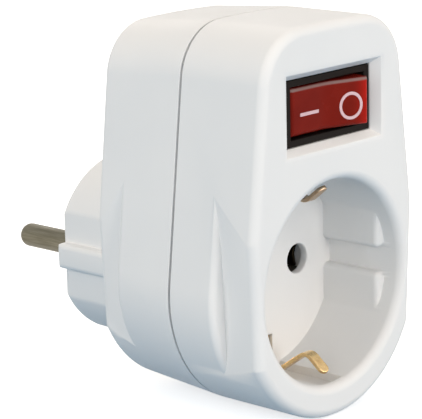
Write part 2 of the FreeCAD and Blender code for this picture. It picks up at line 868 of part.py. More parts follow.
def socket_earth_clip():
    """The upper earth spring: a leg behind the floor, a tab in its slot and a rounded tongue."""
    leg_y = clip_leg_y + sheet / 2
    leg_reach = clip_channel_reach - sheet
    foot_end = earth_rivet_reach - rivet_head_radius
    points = [
        (leg_y, foot_end),
        (leg_y, leg_reach),
        (front_y + clip_knee_depth, leg_reach),
        (front_y + clip_apex_depth, clip_apex_reach),
        (front_y + clip_tip_depth, clip_tip_reach),
    ]
    shape = strip(points, sheet, clip_bend, "yz", -clip_width / 2, clip_width / 2)
    ends = []
    for edge in shape.Edges:
        middle = edge.BoundBox.Center
        near_tip = abs(middle.y - points[-1][0]) < sheet and abs(middle.z - points[-1][1]) < sheet
        if near_tip and abs(edge.Length - sheet) < 1e-3 and abs(abs(middle.x) - clip_width / 2) < 1e-3:
            ends.append(edge)
    shape = shape.makeFillet(clip_tip_round, ends)
    half = clip_foot_width / 2
    foot = box(-half, half, clip_leg_y, clip_leg_y + sheet, foot_end, earth_rivet_reach * 2 - foot_end)
    half = clip_width / 2
    tab_y = floor_y + clip_tab_depth
    tab = box(-half, half, tab_y, tab_y + sheet, clip_slot_start + clip_slot_clearance, leg_reach)
    return fused([shape, foot, tab]).cut(earth_rivet_shank(rivet_clearance))


def plug_earth_contact():
    """The upper side contact of the plug, with the leg that joins it to the earth bridge."""
    blade_reach = plug_radius - plug_contact_sink - sheet / 2
    points = [
        (foot_y + sheet / 2, earth_rivet_reach - rivet_head_radius),
        (foot_y + sheet / 2, plug_contact_leg_reach),
        (-plug_contact_length, plug_contact_leg_reach),
        (-plug_contact_length, blade_reach),
        (-plug_contact_tip, blade_reach),
    ]
    half = plug_contact_width / 2
    shape = strip(points, sheet, plug_contact_bend, "yz", -half, half)
    return shape.cut(earth_rivet_shank(rivet_clearance))


def contact_carrier():
    """Insulating plate behind the contacts: it holds them and the earth bridge against the floor."""
    back_y = carrier_y + carrier_thickness
    half_x, half_z = carrier_half_width, carrier_half_height
    plate = box(-half_x, half_x, carrier_y, back_y, -half_z, half_z)
    solids = [plate]
    for x in (-carrier_leg_x, carrier_leg_x):
        for z in (-carrier_leg_z, carrier_leg_z):
            solids.append(rod_y(carrier_leg_radius, floor_back_y, carrier_y, x, z))
    for z in (-bridge_pad_reach, bridge_pad_reach):
        solids.append(rod_y(carrier_leg_radius, foot_y, carrier_y, 0.0, z))
    for z in (-carrier_post_z, carrier_post_z):
        solids.append(rod_y(carrier_post_radius, back_y, clamp_y, 0.0, z))
    low, high = -pin_x - bar_width / 2 - pass_clearance, -pin_x + bar_width / 2 + pass_clearance
    bottom, top = contact_top - pass_clearance, contact_top + sheet + pass_clearance
    cuts = [box(low, high, carrier_y - 1, back_y + 1, bottom, top)]
    for x in (-pin_x, pin_x):
        cuts.append(rod_y(pin_hole_radius, carrier_y - 1, back_y + 1, x))
    return fused(solids).cut(cuts)


def pin_clamp():
    """Insulating plate behind the pins' heads, which keeps them from being pushed in."""
    disc = rod_y(nose_inner - clamp_clearance, clamp_y, pin_end_y)
    half = nose_half - clamp_clearance
    plate = disc.common(box(-half, half, clamp_y, pin_end_y, -clamp_half_height, clamp_half_height))
    low, high = -pin_x - bar_width / 2 - pass_clearance, -pin_x + bar_width / 2 + pass_clearance
    bottom, top = contact_top - pass_clearance, contact_top + sheet + pass_clearance
    return plate.cut(box(low, high, clamp_y - 1, pin_end_y + 1, bottom, top))


def screw_tip_y():
    return rear_y - screw_recess - screw_length


def case_screws():
    parts = []
    seat_y = rear_y - screw_recess
    for x, z in screw_places():
        shank = rod_y(screw_radius, screw_tip_y(), seat_y, x, z)
        head = rod_y(screw_head_radius, seat_y, seat_y + screw_head_length, x, z)
        head = head.makeFillet(screw_head_length / 3, edges_at_y(head, seat_y + screw_head_length))
        half, arm = screw_cross_width / 2, screw_head_radius * 2 / 3
        cut_y = seat_y + screw_head_length / 2
        cross = [
            box(x - arm, x + arm, cut_y, rear_y, z - half, z + half),
            box(x - half, x + half, cut_y, rear_y, z - arm, z + arm),
        ]
        parts.append(fused([shank, head]).cut(cross))
    return Part.makeCompound(parts)


def blade_in_place(shape):
    """A piece drawn on the level blade, tilted as it lies with the switch on."""
    return turned(shape, blade_tilt_deg, 0.0, fulcrum_y)


def blade_under_y():
    return fulcrum_y - fulcrum_radius - fulcrum_gap


def contact_blade():
    under = blade_under_y()
    half = blade_half_width
    plate = box(
        -blade_half_length, blade_half_length, under - blade_thickness, under,
        switch_height - half, switch_height + half
    )
    return blade_in_place(plate)


def blade_button():
    under = blade_under_y()
    top = under + button_thickness
    return blade_in_place(rod_y(button_radius, under, top, contact_position, switch_height))


def fixed_button_top():
    """The fixed contact stays just clear of the blade's button, whose far edge lies deepest."""
    tilt = math.radians(blade_tilt_deg)
    reach = contact_position + button_radius
    depth = fulcrum_radius + fulcrum_gap - button_thickness
    return fulcrum_y + reach * math.sin(tilt) - depth * math.cos(tilt) + button_gap


def terminal_foot_y():
    return switch_floor_y - terminal_foot_gap - sheet


def fixed_button():
    top, foot = fixed_button_top(), terminal_foot_y()
    return rod_y(fixed_button_radius, top, foot, contact_position, switch_height)


def terminal_tab(x, y0, y1):
    half = terminal_half_width
    return box(x - sheet / 2, x + sheet / 2, y0, y1, switch_height - half, switch_height + half)


def line_in_terminal():
    """The middle terminal: its rounded edge is what the blade rocks on."""
    half = terminal_half_width
    edge = rod_z(fulcrum_radius, switch_height - half, switch_height + half, 0.0, fulcrum_y)
    return fused([edge, terminal_tab(0.0, fulcrum_y, line_in_y + sheet + tab_overshoot)])


def line_out_terminal():
    half = terminal_foot / 2
    foot_low, foot_high = contact_position - half, contact_position + half
    tall = terminal_half_width
    y = terminal_foot_y()
    foot = box(foot_low, foot_high, y, y + sheet, switch_height - tall, switch_height + tall)
    return fused([foot, terminal_tab(contact_position, y, line_out_y + sheet + tab_overshoot)])


def lamp_terminal():
    tall = cross_lead_offset + lead_radius
    low, high = lamp_tab_x - sheet / 2, lamp_tab_x + sheet / 2
    head = box(
        low, high, switch_floor_y - lamp_tab_height, switch_floor_y - terminal_foot_gap,
        switch_height - tall, switch_height + tall
    )
    return fused([head, terminal_tab(lamp_tab_x, switch_floor_y - 1, switch_back_y + lamp_tab_length)])


def switch_housing():
    body_x, body_z = opening_half_width + switch_wall, opening_half_height + switch_wall
    frame = switch_block(frame_width / 2, frame_height / 2, frame_y, switch_body_y)
    frame = frame.makeFillet(frame_round, edges_at_y(frame, frame_y))
    solids = [frame, switch_block(body_x, body_z, frame_y + frame_thickness / 2, switch_back_y)]
    lug_y = front_y + panel_thickness + lug_clearance
    for side in (-1, 1):
        wedge = [(side * (body_x - switch_wall / 2), lug_y), (side * (body_x + lug_reach), lug_y)]
        wedge.append((side * body_x, lug_y + lug_length))
        wedge.append((side * (body_x - switch_wall / 2), lug_y + lug_length))
        points = [Vector(x, y, switch_height - lug_width / 2) for x, y in wedge]
        solids.append(Part.Face(Part.makePolygon(points + points[:1])).extrude(Vector(0, 0, lug_width)))
    shape = fused(solids)
    shape = shape.cut(switch_block(opening_half_width, opening_half_height, frame_y - 1, switch_floor_y))
    tilt = math.radians(blade_tilt_deg)
    drop = blade_half_length * math.sin(tilt) - (fulcrum_radius + fulcrum_gap) * math.cos(tilt)
    stop_top = fulcrum_y + drop + stop_gap
    stop_x = -blade_half_length + stop_width / 2
    half = blade_half_width
    stop = box(
        stop_x - stop_width / 2, stop_x + stop_width / 2, stop_top, switch_floor_y,
        switch_height - half, switch_height + half
    )
    shape = fused([shape, stop])
    cuts = []
    for x in (0.0, contact_position, lamp_tab_x):
        cuts.append(tab_slot(x, switch_floor_y))
    hole_half = body_z + 1
    low_z, high_z = switch_height - hole_half, switch_height + hole_half
    cuts.append(rod_z(pivot_radius + pivot_clearance, low_z, high_z, 0.0, pivot_y))
    return shape.cut(cuts)


def rocker_half_outline(rise, length, skirt):
    """Face corner, end corner and skirt corner of the pressed half, turned back to level."""
    half_throw = math.radians(rocker_throw_deg / 2)
    cos, sin = math.cos(half_throw), math.sin(half_throw)

    def level(x, y):
        return (x * cos - y * sin, x * sin + y * cos)

    taper = rocker_end_taper
    return [level(-length, -rise), level(-length + taper, skirt)]


def rocker_outline(rise, length, skirt, blend, low_z, high_z):
    """The rocker's section about its pivot: a V face whose middle is blended by an arc."""
    half_throw = math.radians(rocker_throw_deg / 2)
    end, foot = rocker_half_outline(rise, length, skirt)
    centre = (0.0, -rise / math.cos(half_throw))
    head = unit(centre, end)
    setback = blend * math.tan(half_throw)
    near = along(centre, head, setback)
    dip = (0.0, centre[1] - blend * (1 / math.cos(half_throw) - 1))

    def at(point, side=1):
        return Vector(side * point[0], point[1] + pivot_y, low_z)

    edges = [
        Part.LineSegment(at(foot), at(end)).toShape(),
        Part.LineSegment(at(end), at(near)).toShape(),
        Part.Arc(at(near), at(dip), at(near, -1)).toShape(),
        Part.LineSegment(at(near, -1), at(end, -1)).toShape(),
        Part.LineSegment(at(end, -1), at(foot, -1)).toShape(),
        Part.LineSegment(at(foot, -1), at(foot)).toShape(),
    ]
    return Part.Face(Part.Wire(edges)).extrude(Vector(0, 0, high_z - low_z))


def on_side(shape):
    """A piece drawn with the rocker level, turned to where it lies with the switch on."""
    return turned(shape, -rocker_throw_deg / 2, 0.0, pivot_y)


def on_mark_shape(depth, proud):
    z = switch_height - mark_drop
    y = pivot_y - face_rise
    half = on_mark_width / 2
    x0 = -on_mark_centre - on_mark_length / 2
    return box(x0, x0 + on_mark_length, y - proud, y + depth, z - half, z + half)


def off_mark_shape(depth, proud):
    z = switch_height - mark_drop
    y = pivot_y - face_rise
    ring = rod_y(off_mark_outer, y - proud, y + depth, off_mark_centre, z)
    ring = ring.cut(rod_y(off_mark_inner, y - proud - 1, y + depth + 1, off_mark_centre, z))
    return turned(ring, -rocker_throw_deg, 0.0, pivot_y)


def rocker():
    low, high = switch_height - rocker_half_height, switch_height + rocker_half_height
    shape = rocker_outline(face_rise, rocker_half_length, rocker_skirt, rocker_face_blend, low, high)
    face_edges = [e for e in shape.Edges if is_face_edge(e)]
    shape = shape.makeFillet(rocker_edge_round, face_edges)
    thin = rocker_side_wall
    room = rocker_outline(
        face_rise - rocker_wall,
        rocker_half_length - rocker_wall,
        rocker_skirt + 1,
        rocker_face_blend + rocker_wall,
        low + thin,
        high - thin,
    )
    shape = shape.cut(room)
    stem_start, stem_end = pivot_y - face_rise + rocker_wall / 2, pivot_y + stem_reach
    stem = rod_y(stem_radius, stem_start, stem_end, 0.0, switch_height)
    end = opening_half_height + switch_wall - pivot_end_gap
    pins = [
        rod_z(pivot_radius, switch_height - end, low + thin, 0.0, pivot_y),
        rod_z(pivot_radius, high - thin, switch_height + end, 0.0, pivot_y),
    ]
    shape = fused([shape, stem] + pins)
    bore_y = pivot_y + stem_reach - bore_depth
    bore = rod_y(plunger_radius + plunger_clearance, bore_y, stem_end + 1, 0.0, switch_height)
    shape = on_side(shape.cut(bore))
    return shape.cut([on_mark_shape(mark_sink, 1), off_mark_shape(mark_sink, 1)])


def is_face_edge(edge):
    """The edges around the rocker's face."""
    return edge.BoundBox.YMax < pivot_y - face_rise


def plunger():
    length = plunger_reach - plunger_radius
    y = pivot_y + plunger_start
    shaft = rod_y(plunger_radius, y, pivot_y + length, 0.0, switch_height)
    tip = Part.makeSphere(plunger_radius, Vector(0, pivot_y + length, switch_height))
    return on_side(fused([shaft, tip]))


def plunger_spring():
    """A coil between the bottom of the rocker's bore and the plunger, as half turns that meet level."""
    start = pivot_y + stem_reach - bore_depth + spring_wire_radius
    end = pivot_y + plunger_start - spring_wire_radius
    coil_radius = plunger_radius - spring_wire_radius - spring_clearance
    step = (end - start) / (2 * spring_turns)
    bulge = math.hypot(coil_radius, step / 2)
    edges = []
    for i in range(2 * spring_turns):
        side = 1 if i % 2 == 0 else -1
        here = Vector(side * coil_radius, start + i * step, switch_height)
        there = Vector(-side * coil_radius, start + (i + 1) * step, switch_height)
        middle = Vector(0, start + (i + 0.5) * step, switch_height + side * bulge)
        edges.append(Part.Arc(here, middle, there).toShape())
    ring = Part.Wire(Part.makeCircle(spring_wire_radius, edges[0].firstVertex().Point, Vector(0, 0, 1)))
    return on_side(Part.Solid(Part.Wire(edges).makePipeShell([ring], True, False)))


def lamp_place(z_offset=0.0):
    return switch_height + z_offset


def lamp_glass_bulb():
    """A neon bulb, standing on its base behind the OFF half of the rocker."""
    y0, y1 = front_y + lamp_front, front_y + lamp_front + lamp_length
    z = lamp_place()
    outside = rod_y(lamp_radius, y0, y1, lamp_x, z)
    outside = outside.makeFillet(lamp_radius * 0.9, edges_at_y(outside, y0))
    radius = lamp_radius - lamp_glass
    base = lamp_glass * 3
    inside = rod_y(radius, y0 + lamp_glass, y1 - base, lamp_x, z)
    inside = inside.makeFillet(radius * 0.9, edges_at_y(inside, y0 + lamp_glass))
    holes = [
        rod_y(
            electrode_radius + electrode_sleeve, y1 - base - 1, y1 + 1, lamp_x, z + side * lamp_pitch / 2
        )
        for side in (-1, 1)
    ]
    return outside.cut([inside] + holes)


def lamp_electrodes():
    end = front_y + lamp_front + lamp_length
    parts = []
    for side in (-1, 1):
        z = lamp_place(side * lamp_pitch / 2)
        parts.append(rod_y(electrode_radius, end - electrode_length, end, lamp_x, z))
    return Part.makeCompound(parts)


def lamp_holder():
    """A bracket on the switch floor: a shelf under the bulb and two legs beside it."""
    z = lamp_place()
    inner = lamp_radius + seat_gap
    outer = inner + holder_leg
    shelf_y = front_y + lamp_front + lamp_length + seat_gap
    top_y = shelf_y - holder_grip
    x0, x1 = lamp_x - holder_width / 2, lamp_x + holder_width / 2
    shape = fused([
        box(x0, x1, shelf_y, shelf_y + holder_shelf, z - outer, z + outer),
        box(x0, x1, top_y, switch_floor_y, z - outer, z - inner),
        box(x0, x1, top_y, switch_floor_y, z + inner, z + outer),
    ])
    holes = [
        rod_y(
            electrode_radius, shelf_y - 1, shelf_y + holder_shelf + 1, lamp_x, z + side * lamp_pitch / 2
        )
        for side in (-1, 1)
    ]
    return shape.cut(holes)


def lamp_resistor():
    y = front_y + resistor_front
    body = rod_y(resistor_radius, y, y + resistor_length, resistor_x, lamp_place(lamp_pitch / 2))
    ends = edges_at_y(body, y) + edges_at_y(body, y + resistor_length)
    return body.makeFillet(resistor_radius / 2, ends)


def lamp_leads():
    """Bulb to resistor, resistor to the outgoing terminal, and bulb to the lamp terminal."""
    bulb_end = front_y + lamp_front + lamp_length
    run_y = front_y + lead_run_depth
    low_y = switch_floor_y - lead_floor_gap - lead_radius
    upper, lower = lamp_place(lamp_pitch / 2), lamp_place(-lamp_pitch / 2)
    cross_z = switch_height - cross_lead_offset
    first = [
        (lamp_x, bulb_end, upper),
        (lamp_x, run_y, upper),
        (resistor_x, run_y, upper),
        (resistor_x, front_y + resistor_front, upper),
    ]
    second = [
        (resistor_x, front_y + resistor_front + resistor_length, upper),
        (resistor_x, low_y, upper),
        (contact_position + terminal_foot / 2, low_y, upper),
    ]
    third = [
        (lamp_x, bulb_end, lower),
        (lamp_x, run_y, lower),
        (resistor_x, run_y, lower),
        (resistor_x, low_y, lower),
        (resistor_x, low_y, cross_z),
        (lamp_tab_x + sheet / 2, low_y, cross_z),
    ]
    return Part.makeCompound([lead(points, lead_radius, lead_bend) for points in (first, second, third)])


def neutral_wire():
    """Insulated wire from the neutral bar up to the lamp terminal."""
    y = floor_back_y + wire_setback
    points = [
        (lamp_tab_x, y, contact_top + sheet),
        (lamp_tab_x, y, switch_height),
        (lamp_tab_x, switch_back_y + lamp_tab_length, switch_height),
    ]
    return lead(points, wire_radius, wire_bend)


def main():
    clip = socket_earth_clip()
    side_contact = plug_earth_contact()
    nodes = {
        "front_shell": front_shell(),
        "rear_shell": rear_shell(),
        "line_pin": plug_pin(pin_x),
        "neutral_pin": plug_pin(-pin_x),
        "pin_clamp": pin_clamp(),
        "line_contact": socket_contact(pin_x),
        "neutral_contact": socket_contact(-pin_x),
        "contact_rivets": contact_rivets(),
        "contact_carrier": contact_carrier(),
        "line_in_bar": line_in_bar(),
        "line_out_bar": line_out_bar(),
        "neutral_bar": neutral_bar(),
        "earth_bridge": earth_bridge(),
        "earth_rivets": earth_rivets(),
        "socket_earth_clip_top": clip,
        "socket_earth_clip_bottom": mirrored_z(clip),
        "plug_earth_contact_top": side_contact,
        "plug_earth_contact_bottom": mirrored_z(side_contact),
        "case_screws": case_screws(),
        "switch_housing": switch_housing(),
        "rocker": rocker(),
        "on_mark": on_mark_shape(mark_sink, mark_proud),
        "off_mark": off_mark_shape(mark_sink, mark_proud),
        "plunger": plunger(),
        "plunger_spring": plunger_spring(),
        "contact_blade": contact_blade(),
        "blade_button": blade_button(),
        "fixed_button": fixed_button(),
        "line_in_terminal": line_in_terminal(),
        "line_out_terminal": line_out_terminal(),
        "lamp_terminal": lamp_terminal(),
        "lamp_bulb": lamp_glass_bulb(),
        "lamp_electrodes": lamp_electrodes(),
        "lamp_holder": lamp_holder(),
        "lamp_resistor": lamp_resistor(),
        "lamp_leads": lamp_leads(),
        "neutral_wire": neutral_wire(),
    }
    os.makedirs("parts", exist_ok=True)
    for name, shape in nodes.items():
        shape.exportStep(f"parts/{name}.step")
        solids = len(shape.Solids)
        print(f"{name}: {solids} solid, {shape.Volume:.2f} mm3, valid {shape.isValid()}")


main()
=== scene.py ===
import json
import logging
import math
from dataclasses import dataclass
from enum import Enum
from typing import Callable, Sequence

import bmesh
import bpy
from mathutils import Matrix, Vector


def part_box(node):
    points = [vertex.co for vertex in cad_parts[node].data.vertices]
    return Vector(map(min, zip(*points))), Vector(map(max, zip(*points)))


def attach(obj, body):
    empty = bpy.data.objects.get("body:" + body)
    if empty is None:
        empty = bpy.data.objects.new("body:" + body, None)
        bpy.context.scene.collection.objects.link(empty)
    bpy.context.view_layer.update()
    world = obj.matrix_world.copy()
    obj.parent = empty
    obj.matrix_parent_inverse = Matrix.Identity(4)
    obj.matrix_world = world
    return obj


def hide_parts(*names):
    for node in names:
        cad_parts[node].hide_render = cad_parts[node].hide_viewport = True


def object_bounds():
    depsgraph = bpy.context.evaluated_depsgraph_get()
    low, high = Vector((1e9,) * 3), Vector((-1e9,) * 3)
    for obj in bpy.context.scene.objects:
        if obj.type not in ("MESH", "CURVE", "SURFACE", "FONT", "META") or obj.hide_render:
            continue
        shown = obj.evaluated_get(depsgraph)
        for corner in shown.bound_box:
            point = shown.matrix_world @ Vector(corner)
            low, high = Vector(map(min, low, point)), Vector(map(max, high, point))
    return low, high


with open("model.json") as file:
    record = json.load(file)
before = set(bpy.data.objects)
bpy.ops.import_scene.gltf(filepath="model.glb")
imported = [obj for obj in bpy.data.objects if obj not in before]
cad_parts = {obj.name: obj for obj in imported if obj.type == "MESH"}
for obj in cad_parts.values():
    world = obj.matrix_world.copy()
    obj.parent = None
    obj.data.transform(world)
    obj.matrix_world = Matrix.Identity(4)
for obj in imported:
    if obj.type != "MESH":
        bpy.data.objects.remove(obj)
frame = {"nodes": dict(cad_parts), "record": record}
CAD_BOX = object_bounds()

logging.basicConfig(level=logging.INFO, format="%(message)s")
LOG = logging.getLogger("adapter")

MM = 0.001
PICTURE_WIDTH = 422
FLOOR_GAP = 0.0002
NEAR_MM = 0.01
Colour = tuple[float, float, float]
Point = tuple[float, float, float]
Material = bpy.types.Material
Node = bpy.types.Node
Socket = bpy.types.NodeSocket


class Body(Enum):
    """The moving bodies that a piece can ride on."""

    HOUSING = "housing"
    ROCKER = "rocker"
    PLUNGER = "plunger"
    BLADE = "blade"


class Slot(Enum):
    """The record's finishes."""

    SHELL = "shell_white"
    INSULATOR = "insulator"
    SWITCH = "switch_black"
    ROCKER = "rocker_red"
    MARK = "mark_white"
    PIN = "pin_nickel"
    BRASS = "contact_brass"
    RIVET = "rivet_metal"
    SILVER = "contact_silver"
    SCREW = "screw_steel"
    SPRING = "spring_steel"
    GLASS = "lamp_glass"
    TIN = "lead_tin"
    RESISTOR = "resistor_body"
    WIRE = "wire_blue"


class Axis(Enum):
    """Along which direction a drawn or rolled surface has its lines."""

    X = 0
    Y = 1
    Z = 2

    @property
    def vector(self) -> Vector:
        """The axis as a direction."""
        return Vector([float(i == self.value) for i in range(3)])

    @property
    def beside(self) -> Vector:
        """A direction square to the axis."""
        return Vector([float(i == (self.value + 1) % 3) for i in range(3)])


class Tree:
    """A shader node tree while it is being built."""

    def __init__(self, tree: bpy.types.NodeTree) -> None:
        """Wraps a node tree.

        Args:
            tree: the tree that the nodes go in.
        """
        self.tree = tree

    def node(self, kind: str, **values: object) -> Node:
        """Adds a node.

        Args:
            kind: the node's type name, without its ShaderNode prefix.
            values: properties of the node to set.

        Returns:
            The new node.
        """
        made = self.tree.nodes.new("ShaderNode" + kind)
        for name, value in values.items():
            setattr(made, name, value)
        return made

    def link(self, source: Socket, target: Socket) -> None:
        """Joins an output to an input."""
        self.tree.links.new(source, target)

    def feed(self, target: Socket, value: object) -> None:
        """Gives an input either a link or a plain value.

        Args:
            target: the input.
            value: an output socket, a number or a colour.
        """
        if isinstance(value, Socket):
            self.link(value, target)
        else:
            target.default_value = value

    def math(self, operation: str, first: object, second: object = 0.0) -> Socket:
        """Adds a Math node.

        Args:
            operation: what it does with its inputs.
            first: its first input, a socket or a number.
            second: its second input.

        Returns:
            The result.
        """
        made = self.node("Math", operation=operation)
        self.feed(made.inputs[0], first)
        self.feed(made.inputs[1], second)
        return made.outputs[0]

    def noise(self, vector: object, scale: object, detail: float, roughness: float = 0.5) -> Socket:
        """Adds a noise texture.

        Args:
            vector: the coordinate it reads.
            scale: how many grains there are to a metre.
            detail: how many finer layers it has.
            roughness: how strong the finer layers are.

        Returns:
            The noise's value.
        """
        made = self.node("TexNoise", noise_dimensions="3D")
        self.feed(made.inputs["Vector"], vector)
        self.feed(made.inputs["Scale"], scale)
        made.inputs["Detail"].default_value = detail
        made.inputs["Roughness"].default_value = roughness
        return made.outputs["Fac"]

    def span(self, value: object, low: float, high: float, out_low: object, out_high: object) -> Socket:
        """Maps a value from one range to another, clamped.

        Args:
            value: the value, a socket or a number.
            low: the value at which the output starts.
            high: the value at which the output ends.
            out_low: the output at its start.
            out_high: the output at its end.

        Returns:
            The mapped value.
        """
        made = self.node("MapRange", clamp=True)
        for socket, number in zip(made.inputs[:5], (value, low, high, out_low, out_high)):
            self.feed(socket, number)
        return made.outputs[0]

    def mixed(self, share: object, first: object, second: object) -> Socket:
        """Mixes two colours.

        Args:
            share: how much of the second colour there is.
            first: the first colour, or a socket with it.
            second: the second colour, or a socket with it.

        Returns:
            The mixed colour.
        """
        made = self.node("Mix", data_type="RGBA")
        self.feed(made.inputs[0], share)
        for socket, value in ((made.inputs[6], first), (made.inputs[7], second)):
            self.feed(socket, (*value, 1.0) if isinstance(value, tuple) else value)
        return made.outputs[2]

    def stretched(self, vector: object, scale: Point) -> Socket:
        """Scales a coordinate separately along its axes.

        Args:
            vector: the coordinate.
            scale: the scale along each axis.

        Returns:
            The scaled coordinate.
        """
        made = self.node("Mapping")
        self.feed(made.inputs["Vector"], vector)
        made.inputs["Scale"].default_value = scale
        return made.outputs[0]


def make_group(
    name: str, inputs: dict[str, float], outputs: tuple[str, ...]
) -> tuple[Tree, Node, Node]:
    """Starts a shader node group.

    Args:
        name: the group's name.
        inputs: its number inputs and their usual values. A Vector input comes first.
        outputs: its number outputs.

    Returns:
        The tree, its input node and its output node.
    """
    group = bpy.data.node_groups.new(name, "ShaderNodeTree")
    group.interface.new_socket("Vector", in_out="INPUT", socket_type="NodeSocketVector")
    for label, value in inputs.items():
        entry = group.interface.new_socket(label, in_out="INPUT", socket_type="NodeSocketFloat")
        entry.default_value = value
    for label in outputs:
        group.interface.new_socket(label, in_out="OUTPUT", socket_type="NodeSocketFloat")
    tree = Tree(group)
    return tree, group.nodes.new("NodeGroupInput"), group.nodes.new("NodeGroupOutput")


class Effects:
    """The shared surface effects, each a shader node group."""

    def __init__(self) -> None:
        """Builds the groups."""
        self.grain = self.build_grain()
        self.handling = self.build_handling()
        self.lines = self.build_lines()

    def build_grain(self) -> bpy.types.NodeTree:
        """The fine texture of a moulded surface, and the slow change of tone under it."""
        tree, entry, leave = make_group("moulded_grain", {"Fine": 3000.0, "Slow": 40.0}, ("Height", "Tone"))
        fine = tree.noise(entry.outputs["Vector"], entry.outputs["Fine"], 3.0, 0.6)
        slow = tree.noise(entry.outputs["Vector"], entry.outputs["Slow"], 2.0)
        tree.link(fine, leave.inputs["Height"])
        tree.link(tree.span(slow, 0.3, 0.7, 0.0, 1.0), leave.inputs["Tone"])
        return tree.tree

    def build_handling(self) -> bpy.types.NodeTree:
        """Where a surface has been touched and rubbed: soft smudges and short hair lines."""
        numbers = {"Size": 90.0, "Hair": 1200.0}
        tree, entry, leave = make_group("handling_marks", numbers, ("Smudge", "Scratch"))
        smudge = tree.noise(entry.outputs["Vector"], entry.outputs["Size"], 4.0, 0.65)
        tree.link(tree.span(smudge, 0.45, 0.7, 0.0, 1.0), leave.inputs["Smudge"])
        turned = tree.node("VectorRotate", rotation_type="EULER_XYZ")
        tree.link(entry.outputs["Vector"], turned.inputs["Vector"])
        turned.inputs["Rotation"].default_value = (0.6, 0.9, 0.4)
        thin = tree.noise(tree.stretched(turned.outputs[0], (1.0, 0.04, 0.3)), entry.outputs["Hair"], 2.0)
        patch = tree.noise(entry.outputs["Vector"], tree.math("MULTIPLY", entry.outputs["Size"], 1.7), 1.0)
        hair = tree.span(thin, 0.66, 0.72, 0.0, 1.0)
        lines = tree.math("MULTIPLY", hair, tree.span(patch, 0.5, 0.62, 0.0, 1.0))
        tree.link(lines, leave.inputs["Scratch"])
        return tree.tree

    def build_lines(self) -> bpy.types.NodeTree:
        """The lines that drawing or rolling leaves in metal, and the tarnish between them."""
        numbers = {"Lines": 2500.0, "Tarnish": 120.0}
        tree, entry, leave = make_group("drawn_lines", numbers, ("Height", "Tarnish"))
        line = tree.noise(entry.outputs["Vector"], entry.outputs["Lines"], 3.0, 0.7)
        stain = tree.noise(entry.outputs["Vector"], entry.outputs["Tarnish"], 4.0, 0.6)
        tree.link(line, leave.inputs["Height"])
        both = tree.math("ADD", tree.math("MULTIPLY", line, 0.45), tree.math("MULTIPLY", stain, 0.55))
        tree.link(tree.span(both, 0.38, 0.62, 0.0, 1.0), leave.inputs["Tarnish"])
        return tree.tree


EFFECTS = Effects()


def start_material(name: str) -> tuple[Material, Tree, Node, Socket]:
    """Starts a material with a Principled shader.

    Args:
        name: the material's name.

    Returns:
        The material, its tree, its shader and the object coordinate.
    """
    material = bpy.data.materials.new(name)
    material.use_nodes = True
    tree = Tree(material.node_tree)
    shader = material.node_tree.nodes["Principled BSDF"]
    place = tree.node("TexCoord").outputs["Object"]
    return material, tree, shader, place


def add_group(
    tree: Tree, group: bpy.types.NodeTree, vector: Socket, **values: float
) -> Node:
    """Places a shared effect in a material.

    Args:
        tree: the material's tree.
        group: the effect.
        vector: the coordinate it reads.
        values: the effect's own numbers.

    Returns:
        The group node.
    """
    made = tree.node("Group", node_tree=group)
    tree.link(vector, made.inputs["Vector"])
    for name, value in values.items():
        made.inputs[name].default_value = value
    return made


def add_bump(tree: Tree, height: Socket, shader: Node, depth: float) -> None:
    """Raises the surface in the shader's normal.

    Args:
        tree: the material's tree.
        height: how high the surface is, from 0 to 1.
        shader: the material's shader.
        depth: how far apart 0 and 1 are, in metres.
    """
    bump = tree.node("Bump")
    bump.inputs["Strength"].default_value = 1.0
    bump.inputs["Distance"].default_value = depth
    tree.link(height, bump.inputs["Height"])
    tree.link(bump.outputs[0], shader.inputs["Normal"])


@dataclass(frozen=True)
class MouldedPlastic:
    """A plastic moulding: an even colour with a fine grain and faint marks of handling."""

    name: str
    colour: Colour
    shade: Colour
    roughness: float
    worn_roughness: float
    grain_depth: float
    fine: float = 3000.0
    specular: float = 0.5

    def build(self) -> Material:
        """Builds the material."""
        material, tree, shader, place = start_material(self.name)
        grain = add_group(tree, EFFECTS.grain, place, Fine=self.fine, Slow=45.0)
        marks = add_group(tree, EFFECTS.handling, place, Size=95.0, Hair=1500.0)
        tree.link(tree.mixed(grain.outputs["Tone"], self.shade, self.colour), shader.inputs["Base Color"])
        rubbed = tree.math("MAXIMUM", marks.outputs["Smudge"], marks.outputs["Scratch"])
        roughness = tree.span(rubbed, 0.0, 1.0, self.roughness, self.worn_roughness)
        tree.link(roughness, shader.inputs["Roughness"])
        add_bump(tree, grain.outputs["Height"], shader, self.grain_depth)
        shader.inputs["Specular IOR Level"].default_value = self.specular
        return material


